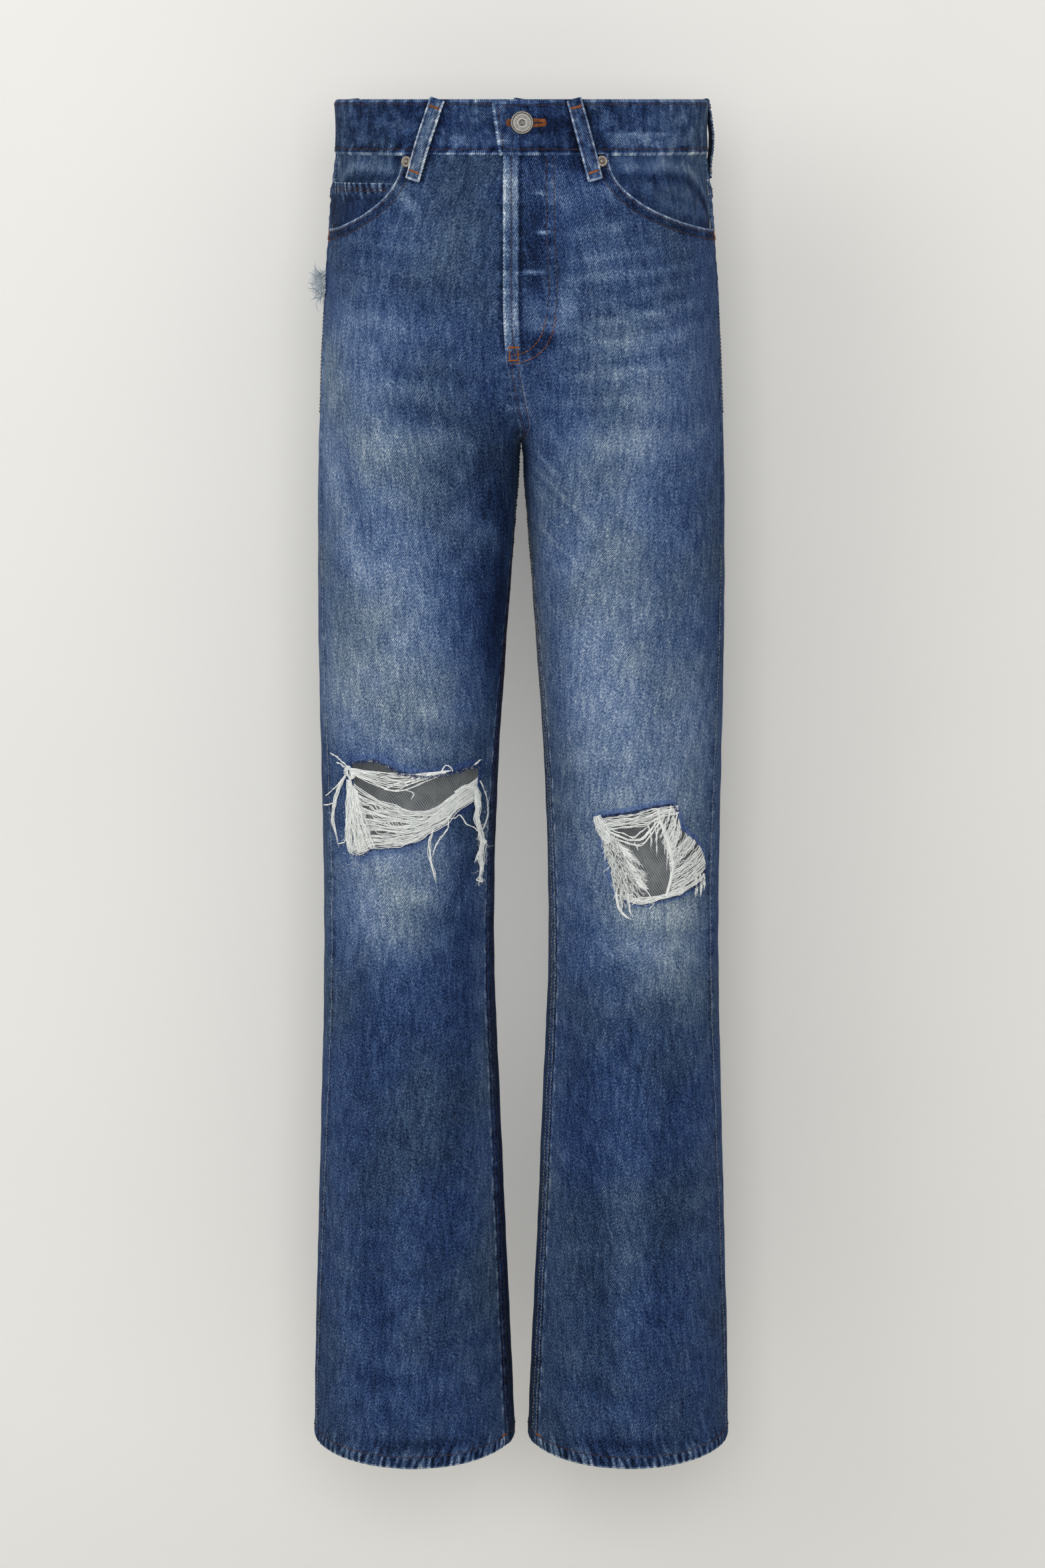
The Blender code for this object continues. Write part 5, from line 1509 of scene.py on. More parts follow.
def loop_bow(loop, down):
    """How far a belt loop's wrong side stands off the skin."""
    bow = np.interp(down, LOOP_BOW_SHARES, LOOP_BOW)
    foot = LOOP_BOW[-1]
    return foot + (bow - foot) * (1.0 + (loop["slack"] - 1.0) * np.sin(math.pi * down))


def loop_relief(loop, down, across):
    """How far a belt loop's right side stands off the skin, with its turned edges."""
    out = loop_bow(loop, down) + LOOP_WALL - 0.0007 * (2 * np.abs(across)) ** 8
    return out - 0.0004 * bell(down, 0.12, 0.02) - 0.0004 * bell(down, 0.90, 0.02)


def belt_loop(loop):
    """A belt loop, bowed out from the waistband."""
    down, across = np.broadcast_arrays(spread(46, 0.3)[:, None], (spread(12, 0.5) - 0.5)[None, :])
    s, z = loop_places(loop, down, across)
    edges = [((0.5 - np.abs(across)) * LOOP_WIDTH, down * LOOP_RUN * np.sign(across), 1.0),
             ((1.0 - down) * LOOP_RUN, s, 1.0)]
    lay_cloth("belt_loop_" + loop["name"], loop["side"], s, z, loop_relief(loop, down, across),
              loop_bow(loop, down), edges, "denim_band", ("cloth_waistband",), "strap_" + loop["name"],
              ("loop", "loop"), fade=loop["fade"] - 0.14 * bell(np.abs(across), 0.31, 0.07))


# ---- stitches -----------------------------------------------------------------------
STITCH_PITCH = 0.0030
STITCH_SIDES = 4


class Tubes:
    """Many short tubes gathered into one mesh."""

    def __init__(self):
        self.points = []
        self.faces = []
        self.count = 0

    def add(self, paths, radii, normals, sides=STITCH_SIDES):
        """paths is (n, rings, 3); radii fits (n, rings); normals fits paths."""
        paths = np.asarray(paths, float)
        n, rings, _ = paths.shape
        way = np.gradient(paths, axis=1)
        way /= np.maximum(np.linalg.norm(way, axis=2, keepdims=True), 1e-9)
        normals = np.broadcast_to(normals, paths.shape)
        across = np.cross(way, normals)
        across /= np.maximum(np.linalg.norm(across, axis=2, keepdims=True), 1e-9)
        up = np.cross(across, way)
        radii = np.broadcast_to(radii, (n, rings))[..., None]
        turns = np.linspace(0.0, 2 * math.pi, sides, endpoint=False)
        rows = [paths + radii * (math.cos(turn) * up + math.sin(turn) * across) for turn in turns]
        points = np.stack(rows, axis=2).reshape(-1, 3)
        first = self.count + np.arange(n)[:, None, None] * rings * sides
        ring = np.arange(rings - 1)[None, :, None] * sides
        k = np.arange(sides)[None, None, :]
        after = (k + 1) % sides
        a, b = first + ring + k, first + ring + after
        quads = np.stack((a, b, b + sides, a + sides), axis=-1).reshape(-1, 4)
        ends = self.count + np.arange(n)[:, None] * rings * sides
        near = ends + np.arange(sides)[::-1]
        far = ends + (rings - 1) * sides + np.arange(sides)
        self.points.append(points)
        self.faces += quads.tolist() + near.tolist() + far.tolist()
        self.count += len(points)

    def make(self, name, look):
        return make_mesh(name, np.concatenate(self.points), self.faces, (look,), sharp=80.0)


def even_places(line, pitch):
    """Evenly spaced places along a line of (s, z), and the line's direction at each."""
    line = np.asarray(line, float)
    run = run_along(line)
    count = max(int(run[-1] / pitch), 1)
    at = (np.arange(count) + 0.5) * run[-1] / count

    def along(distance):
        return np.stack([np.interp(distance, run, line[:, k]) for k in (0, 1)], axis=1)

    way = along(at + 0.0004) - along(at - 0.0004)
    return along(at), way / np.linalg.norm(way, axis=1, keepdims=True)


def stitch_run(tubes, side, line, relief, length=0.0027, radius=0.00034, pitch=STITCH_PITCH, slant=0.0):
    """A row of stitches along a line, each dipping into the cloth at both ends."""
    places, way = even_places(line, pitch)
    leant = np.stack((way[:, 0] - slant * way[:, 1], way[:, 1] + slant * way[:, 0]), axis=1)
    leant /= np.linalg.norm(leant, axis=1, keepdims=True)
    share = np.array((-0.5, -0.28, 0.28, 0.5))
    lift = np.array((-0.00030, 0.00024, 0.00024, -0.00030))
    jitter = rng.normal(0.0, 0.00010, (len(places), 1, 2))
    at = places[:, None, :] + jitter + leant[:, None, :] * (share * length)[None, :, None]
    s, z = at[..., 0], at[..., 1]
    paths, normals = raised(side, s, z, relief(s, z) + lift)
    tubes.add(paths, radius * np.array((0.55, 1.0, 1.0, 0.55)), normals)


def tack(tubes, side, start, end, width, relief, pitch=0.00042, radius=0.00028):
    """A bar tack: a dense zigzag between two places."""
    start, end = np.array(start, float), np.array(end, float)
    length = np.hypot(*(end - start))
    count = max(int(length / pitch), 4)
    way = (end - start) / length
    cross_way = np.array((-way[1], way[0]))
    share = (np.arange(count) + 0.5) / count
    middle = start + (end - start) * share[:, None]
    half = 0.5 * width * (1.0 + rng.normal(0.0, 0.08, count))[:, None]
    at = np.stack([middle + cross_way * half * k + way * pitch * 0.5 * k
                   for k in (-1.0, -0.6, 0.0, 0.6, 1.0)], axis=1)
    s, z = at[..., 0], at[..., 1]
    lift = np.array((-0.0002, 0.0003, 0.0004, 0.0003, -0.0002))
    paths, normals = raised(side, s, z, relief(s, z) + lift)
    tubes.add(paths, radius, normals)


def offset_line(line, gap):
    """A line moved sideways, to the left of its own direction."""
    line = np.asarray(line, float)
    way = np.gradient(line, axis=0)
    way /= np.linalg.norm(way, axis=1, keepdims=True)
    return line + gap * np.stack((-way[:, 1], way[:, 0]), axis=1)


def sewn_back(side, s, z):
    """How far the back's right side stands off the skin, with the yoke over the panel."""
    return back_relief(side, s, z) + YOKE_PROUD * (z > yoke_seam(s, z))


def band_stitches(brown):
    """The waistband's rows along its top, its foot and its overlapping end."""
    full = 2 * float(ring_length(0.0))
    for z, start in ((-0.0027, OVERLAP_TOP + 0.0075), (-BAND_HEIGHT + 0.0038, OVERLAP_FOOT + 0.0045)):
        s = np.linspace(start, full - 0.024, 700)
        stitch_run(brown, 1, pairs(s, z - overlap_dip(s, z)), band_relief)
    z = np.linspace(-0.0035, -BAND_HEIGHT + 0.0040, 40)
    stitch_run(brown, 1, pairs(overlap_edge(z) + 0.0032, z), band_relief)


def leg_stitches(side, front, back, brown, tan, orange):
    """A side's pocket mouth, side seam, inseam, hem and yoke seam."""
    for gap in (0.0024, 0.0080):
        line = offset_line(MOUTHS[side], -gap)
        line = line[(line[:, 1] < SEWN_TOP_Z) & (line[:, 0] < side_seam(line[:, 1]) - 0.001)]
        stitch_run(brown, side, line, front)
    z = np.linspace(-0.36, HEM_Z + 0.012, 320)
    stitch_run(tan, side, pairs(side_seam(z) - 0.0022, z), front, length=0.0019, radius=0.00022)
    z = np.linspace(CROTCH_Z - 0.004, HEM_Z + 0.012, 320)
    look = brown if side < 0 else tan
    stitch_run(look, side, pairs(front_start(side, z) + 0.0024, z), front, length=0.0021, radius=0.00026)
    stitch_run(look, side, pairs(back_end(z) - 0.0060, z), back, length=0.0021, radius=0.00024)

    z = HEM_Z + 0.0098
    start, seam, end = float(front_start(side, z)), float(side_seam(z)), float(back_end(z))
    for first, last, relief in ((start, seam, front), (seam, end, back)):
        stitch_run(brown, side, pairs(np.linspace(first + 0.001, last - 0.001, 220), z), relief)
    z = HEM_Z + 0.0104
    tack(orange, side, (start + 0.0008, z), (start + 0.0100, z), 0.0011, front, pitch=0.0007)

    share = np.linspace(0.02, 0.98, 120)
    for rise in (0.0022, 0.0080):
        z = yoke_line(share) + rise
        s = side_seam(z) + (back_end(z) - side_seam(z)) * share
        stitch_run(brown, side, pairs(s, z), back)


def fly_stitches(front, back, brown, orange):
    """The centre back, the fly's strip and curves, the seam below it and its tacks."""
    z = np.linspace(-0.0445, CROTCH_Z + 0.004, 200)
    for gap in (0.0024, 0.0085):
        stitch_run(brown, 1, pairs(back_end(z) - gap, z), back)
    z = np.linspace(-0.0440, FLY_FOOT_Z - 0.002, 120)
    stitch_run(brown, 1, pairs(0.0060 - fly_shift(z), z), front)
    for line in (FLY_INNER, FLY_OUTER):
        stitch_run(brown, 1, line[(line[:, 1] > -0.168) & (line[:, 1] < SEWN_TOP_Z)], front)
        stitch_run(orange, 1, line[(line[:, 1] <= -0.166) & (line[:, 0] > -0.0095)], front)
    z = np.linspace(FLY_FOOT_Z - 0.012, CROTCH_Z + 0.003, 60)
    for gap in (0.0026, 0.0082):
        stitch_run(brown, 1, pairs(front_start(1, z) + gap, z), front)
    left, right = 0.0012 - FLY_SHIFT * 0.85, 0.0100 - FLY_SHIFT * 0.85
    for start, end, width in (((left, -0.1940), (right, -0.1940), 0.0016),
                              ((left + 0.0010, -0.1965), (left + 0.0010, -0.2035), 0.0009),
                              ((right - 0.0010, -0.1965), (right - 0.0010, -0.2035), 0.0009),
                              ((left, -0.2045), (right, -0.2045), 0.0012)):
        tack(orange, 1, start, end, width, front)


def pocket_stitches(side, brown, orange):
    """A back pocket's two rows round it, its hem and the tacks at its corners."""
    t = np.linspace(0.0, 1.0, 60)
    across = np.concatenate((np.full(60, -0.5), np.linspace(-0.5, 0.5, 60), np.full(60, 0.5)))
    down = np.concatenate((t, np.ones(60), 1.0 - t))
    for inset in (0.0020, 0.0075):
        s, z = pocket_places(across * (1.0 - 2 * inset / BACK_POCKET_WIDTH),
                             down * (1.0 - inset / BACK_POCKET_DEPTH))
        stitch_run(brown, side, pairs(s, z), partial(pocket_relief, side, gap=inset))
    hem = 0.0118
    s, z = pocket_places(np.linspace(-0.49, 0.49, 80), hem / BACK_POCKET_DEPTH)
    stitch_run(brown, side, pairs(s, z), lambda s, z: pocket_relief(side, s, z, hem) + 0.0005)
    for corner in (-0.47, 0.47):
        s, z = pocket_places(np.array((corner, corner)), np.array((0.012, 0.075)))
        tack(orange, side, *pairs(s, z), 0.0018, lambda s, z: pocket_relief(side, s, z, 0.002) + 0.0003)


def trim_stitches(brown, orange):
    """The coin pocket's hem, the belt loops and the buttonhole round its slot."""
    _, coin_z = mouth_places(-1, COIN_TOP_TURN)
    for gap in (0.0038, 0.0062):
        z = coin_z - gap
        start = float(np.interp(-z, -MOUTHS[-1][:, 1], MOUTHS[-1][:, 0]))
        s = np.linspace(start + 0.0015, float(side_seam(z)) - 0.0015, 60)
        stitch_run(brown, -1, pairs(s, z), lambda s, z: 0.0003 + 0 * s)
    for loop in LOOPS:
        for across in (-0.30, 0.30):
            s, z = loop_places(loop, np.linspace(0.05, 0.96, 60), across)
            stitch_run(brown, loop["side"], pairs(s, z), lambda s, z: loop_relief(
                loop, (LOOP_TOP_Z - z) / (LOOP_TOP_Z - LOOP_FOOT_Z), across),
                length=0.0020, radius=0.00026, pitch=0.0026)
        for down in (0.10, 0.905):
            s, z = loop_places(loop, np.array((down, down)), np.array((-0.36, 0.36)))
            tack(orange, loop["side"], *pairs(s, z), 0.0016,
                 lambda s, z: loop_relief(loop, down, 0.3) + 0 * s)
    turn = np.linspace(0.0, 2 * math.pi, 240)
    half_run, half_rise = 0.0140, 0.0014
    slot = pairs(0.0040 + np.clip(np.cos(turn) * 1.6, -1.0, 1.0) * half_run,
                 BUTTON_AT[1] + np.sin(turn) * half_rise)
    for ring in (0.0, 0.0012):
        stitch_run(orange, 1, offset_line(slot, -ring)[:-1], band_relief, length=0.0018, radius=0.0003,
                   pitch=0.00062, slant=40.0)


def stitches():
    """All the sewing thread that shows, in three colours."""
    brown, tan, orange = Tubes(), Tubes(), Tubes()
    band_stitches(brown)
    for side in (1, -1):
        front, back = partial(front_relief, side), partial(sewn_back, side)
        leg_stitches(side, front, back, brown, tan, orange)
        if side > 0:
            fly_stitches(front, back, brown, orange)
        top, foot = MOUTHS[side][2], MOUTHS[side][-2]
        tack(orange, side, top + (-0.0045, -0.0015), top + (-0.0085, -0.0020), 0.0016, front)
        tack(orange, side, foot + (-0.0010, -0.0012), foot + (-0.0010, -0.0100), 0.0016, front)
        pocket_stitches(side, brown, orange)
    trim_stitches(brown, orange)
    for tubes, look in ((brown, "brown"), (tan, "tan"), (orange, "orange")):
        place(tubes.make("stitches_" + look, look), "denim_washed")


# ---- loose threads ----------------------------------------------------------------
KNEE_X = np.linspace(0.020, 0.164, 73)
KNEE_Z = np.linspace(-0.500, -0.700, 51)


def knee_map(side):
    """Points and outward directions of the skin over a knee, by distance out and height."""
    s = np.array([[round_at_x(x, z) for x in KNEE_X] for z in KNEE_Z])
    z = np.repeat(KNEE_Z[:, None], len(KNEE_X), axis=1)
    return skin(side, s, z), skin_normals(side, s, z)


KNEES = {name: knee_map(TEAR_SIDE[name]) for name in TEARS}


def on_knee(name, x, z, out):
    """Points out from the skin at a knee; x is the distance from the garment's middle."""
    points, normals = KNEES[name]
    col = np.clip((x - KNEE_X[0]) / (KNEE_X[1] - KNEE_X[0]), 0.0, len(KNEE_X) - 1.001)
    row = np.clip((KNEE_Z[0] - z) / (KNEE_Z[0] - KNEE_Z[1]), 0.0, len(KNEE_Z) - 1.001)
    i, j = row.astype(int), col.astype(int)
    p, q = (row - i)[..., None], (col - j)[..., None]

    def mixed(grid):
        upper = grid[i, j] * (1 - q) + grid[i, j + 1] * q
        lower = grid[i + 1, j] * (1 - q) + grid[i + 1, j + 1] * q
        return upper * (1 - p) + lower * p

    return mixed(points) + mixed(normals) * out[..., None]


def waves(count, rings, size, turns):
    """Seeded uneven waves along threads, none at their ends."""
    t = np.linspace(0.0, 1.0, rings)
    total = np.zeros((count, rings))
    for k in (1.0, 2.3, 4.1):
        total += rng.normal(0.0, 1.0 / k, (count, 1)) * np.sin(
            2 * math.pi * (k * turns * t + rng.random((count, 1))))
    return size * total * np.sin(math.pi * np.clip(t * 1.02, 0.0, 1.0)) ** 0.5


def lay_threads(tubes, name, x, z, out, radius=0.00030, thin_ends=False, sides=4):
    """Threads over a knee from arrays of places, (n, rings)."""
    if x.shape[1] >= 20:
        x = x + waves(*x.shape, 0.00016, 5.0)
        z = z + waves(*x.shape, 0.00020, 5.0)
    paths = on_knee(name, x, z, out)
    radii = np.full(x.shape, radius) * (1.0 + 0.15 * waves(*x.shape, 1.0, 3.0))
    if thin_ends:
        radii = radii * np.clip(np.linspace(6.0, 0.0, x.shape[1]), 0.25, 1.0)
    facing_way = np.array((0.0, -1.0, 0.0)) + rng.normal(0.0, 0.03, 3)
    tubes.add(paths, radii, np.broadcast_to(facing_way, paths.shape), sides)


def curled(x0, z0, reach, angle, curl, t):
    """Places along threads that set out at an angle and curl as they go."""
    return x0 + reach * t * np.cos(angle + curl * t), z0 + reach * t * np.sin(angle + curl * t)


def swag(tubes, name, upper, lower, count, clumps=9, rings=44, out=(0.0, 0.0034), rough=0.0007,
         gaps=(), radius=0.00032, shares=(0.0, 1.0)):
    """Threads that fill the space between an upper and a lower line, in loose clumps.

    gaps are places (x, z, half length, half height) that the threads part round.
    """
    top, foot = smooth_path(upper, rings), smooth_path(lower, rings)
    centres = np.sort(rng.random(clumps))
    t = np.linspace(*shares, count) + rng.normal(0.0, 0.5 / count, count)
    nearest = centres[np.argmin(np.abs(t[:, None] - centres), axis=1)]
    t = np.clip(t + (nearest - t) * rng.uniform(0.1, 0.8, count), shares[0], shares[1])
    slide = waves(count, rings, 0.018, 0.7)
    share = np.clip(t[:, None] + slide, -0.02, 1.02)
    x = top[:, 0] + (foot[:, 0] - top[:, 0]) * share
    z = top[:, 1] + (foot[:, 1] - top[:, 1]) * share
    z = z + waves(count, rings, rough, 1.8)
    x = x + waves(count, rings, 0.6 * rough, 1.4)
    for gap_x, gap_z, half_x, half_z in gaps:
        rise = z - gap_z
        push = half_z * np.exp(-((x - gap_x) / half_x) ** 2) * np.exp(-(rise / (2.2 * half_z)) ** 2)
        z = z + np.where(rise > 0, push, -push)
    depth = rng.uniform(*out, (count, 1)) + waves(count, rings, 0.0006, 1.2)
    ends = np.sin(math.pi * np.linspace(0.0, 1.0, rings)) ** 0.4
    depth = 0.0004 + np.maximum(depth, 0.0) * ends
    lay_threads(tubes, name, x, z, depth, radius)
    fluff(tubes, name, x, z, depth, 5 * count)


def fluff(tubes, name, x, z, depth, count, length=0.0036, radius=0.00008):
    """Short fine fibres that stand off threads."""
    i = rng.integers(0, x.shape[0], count)
    j = rng.integers(1, x.shape[1] - 1, count)
    t = np.linspace(0.0, 1.0, 5)
    angle = rng.uniform(0.0, 2 * math.pi, (count, 1)) + t * rng.normal(0.0, 0.9, (count, 1))
    reach = length * rng.uniform(0.3, 1.1, (count, 1)) * t
    out = depth[i, j][:, None] + rng.uniform(0.0, 0.0016, (count, 1)) * t
    x = x[i, j][:, None] + reach * np.cos(angle)
    z = z[i, j][:, None] + reach * np.sin(angle)
    lay_threads(tubes, name, x, z, out, radius, sides=3)


def skein(tubes, name, line, count, width, rings=36, out=0.0012, rough=0.0003, radius=0.00028, cut=0.0):
    """A bundle of threads along a line; cut is how unevenly they end."""
    path = smooth_path(line, rings)
    way = np.gradient(path, axis=0)
    way /= np.linalg.norm(way, axis=1, keepdims=True)
    swell = 0.55 + 0.45 * np.sin(math.pi * np.linspace(0.0, 1.0, rings)) ** 0.7
    aside = rng.normal(0.0, 0.5, (count, 1)).clip(-1.0, 1.0) * width * swell + waves(count, rings, rough, 2.0)
    reach = 1.0 - cut * rng.random((count, 1))
    at = np.linspace(0.0, 1.0, rings)[None, :] * reach * (rings - 1)
    low = np.clip(at.astype(int), 0, rings - 2)
    mix = at - low
    x = path[low, 0] * (1 - mix) + path[low + 1, 0] * mix + aside * -way[low, 1]
    z = path[low, 1] * (1 - mix) + path[low + 1, 1] * mix + aside * way[low, 0]
    depth = out + rng.uniform(-0.5, 1.0, (count, 1)) * 0.6 * width + waves(count, rings, 0.0003, 1.5)
    lay_threads(tubes, name, x, z, np.maximum(depth, 0.0003), radius, thin_ends=cut > 0)


def rungs(tubes, name, starts, ends, count, clumps, sag=0.0012, rough=0.0006, out=(0.0, 0.0032),
          radius=0.00028):
    """Threads across from one line to another, in loose clumps."""
    rings = 24
    centres = np.sort(rng.random(clumps))
    t = (np.arange(count) + rng.uniform(-0.4, 0.4, count)) / count
    t += (centres[np.argmin(np.abs(t[:, None] - centres), axis=1)] - t) * rng.uniform(0.2, 0.8, count)
    first, last = smooth_path(starts, 60), smooth_path(ends, 60)
    share = np.linspace(0.0, 1.0, rings)
    at = np.clip(t, 0.0, 1.0) * 59
    places = []
    for axis in (0, 1):
        a = np.interp(at, np.arange(60), first[:, axis])[:, None]
        b = np.interp(at + rng.normal(0.0, 1.5, count), np.arange(60), last[:, axis])[:, None]
        places.append(a + (b - a) * share + waves(count, rings, rough, 1.4))
    z = places[1] - sag * np.sin(math.pi * share)
    depth = rng.uniform(*out, (count, 1)) * np.sin(math.pi * share) ** 0.4 + waves(count, rings, 0.0005, 1.2)
    lay_threads(tubes, name, places[0], z, 0.0005 + np.maximum(depth, 0.0), radius)


def thatch(tubes, name, left_line, right_line, count, length, radius=0.00027):
    """Short cut threads laid over each other, fanning outwards from left to right."""
    rings = 12
    left, right = smooth_path(left_line, 60), smooth_path(right_line, 60)
    down, over = rng.random((count, 1)), rng.random((count, 1))
    x0, z0 = [np.interp(down, np.linspace(0, 1, 60), left[:, axis]) * (1 - over)
              + np.interp(down, np.linspace(0, 1, 60), right[:, axis]) * over for axis in (0, 1)]
    t = np.linspace(-0.45, 0.55, rings)
    angle = math.radians(-88.0) + math.radians(48.0) * over + rng.normal(0.0, 0.22, (count, 1))
    reach = length * rng.uniform(0.7, 1.3, (count, 1)) * (1.0 - 0.45 * over)
    curl = rng.normal(0.0, 0.6, (count, 1))
    x, z = curled(x0, z0, reach, angle, curl, t)
    depth = 0.0006 + 0.0036 * rng.random((count, 1)) + 0.0012 * t
    lay_threads(tubes, name, x, z, depth, radius, thin_ends=True, sides=3)


def knot(tubes, name, x, z, size, loops=5, out=0.0016):
    """A small snarl of thread."""
    t = np.linspace(0.0, 1.0, 26)
    for _ in range(loops):
        phase, stretch = rng.random() * 6.28, rng.uniform(0.5, 1.0)
        a = phase + t * rng.uniform(5.5, 8.5)
        px = x + size * stretch * np.cos(a) * (0.6 + 0.4 * np.sin(2.1 * a + phase))
        pz = z + size * np.sin(a) * (0.7 + 0.3 * np.cos(1.7 * a))
        lay_threads(tubes, name, px[None], pz[None], out + 0.0011 * np.sin(a * 1.6 + phase)[None], 0.00030)


def fuzz(tubes, name, centre, spread_xz, count, length, lean=(0.0, 1.0), radius=0.00010, out=0.0016):
    """Fine stray fibres about a place."""
    t = np.linspace(0.0, 1.0, 7)
    x0 = centre[0] + rng.normal(0.0, spread_xz[0], (count, 1))
    z0 = centre[1] + rng.normal(0.0, spread_xz[1], (count, 1))
    angle = math.atan2(lean[1], lean[0]) + rng.normal(0.0, 0.9, (count, 1))
    curl = rng.normal(0.0, 0.7, (count, 1))
    reach = length * rng.uniform(0.3, 0.9, (count, 1))
    x, z = curled(x0, z0, reach, angle, curl, t)
    depth = out + rng.uniform(0.0, 0.002, (count, 1)) * t
    lay_threads(tubes, name, x, z, depth, radius, thin_ends=True, sides=3)


def fringe(tubes, name, first, last, way, length, spacing=0.00036, radius=0.00020):
    """Short torn yarns along part of a tear's outline."""
    outline = np.array(TEARS[name] + (TEARS[name][0],))[first:last + 1]
    run = np.concatenate(([0.0], np.cumsum(np.hypot(*np.diff(outline, axis=0).T))))
    count = int(run[-1] / spacing)
    at = rng.random(count) * run[-1]
    x0 = np.interp(at, run, outline[:, 0])[:, None]
    z0 = np.interp(at, run, outline[:, 1])[:, None] - way * 0.0008
    t = np.linspace(0.0, 1.0, 8)
    reach = length * rng.uniform(0.25, 1.15, (count, 1))
    angle = way * math.pi / 2 + rng.normal(0.0, 0.38, (count, 1))
    curl = rng.normal(0.0, 0.9, (count, 1))
    x, z = curled(x0, z0, reach, angle, curl, t)
    depth = 0.0010 + rng.uniform(-0.0004, 0.0016, (count, 1)) * t + 0.0006
    lay_threads(tubes, name, x, z, depth, radius, thin_ends=True, sides=3)


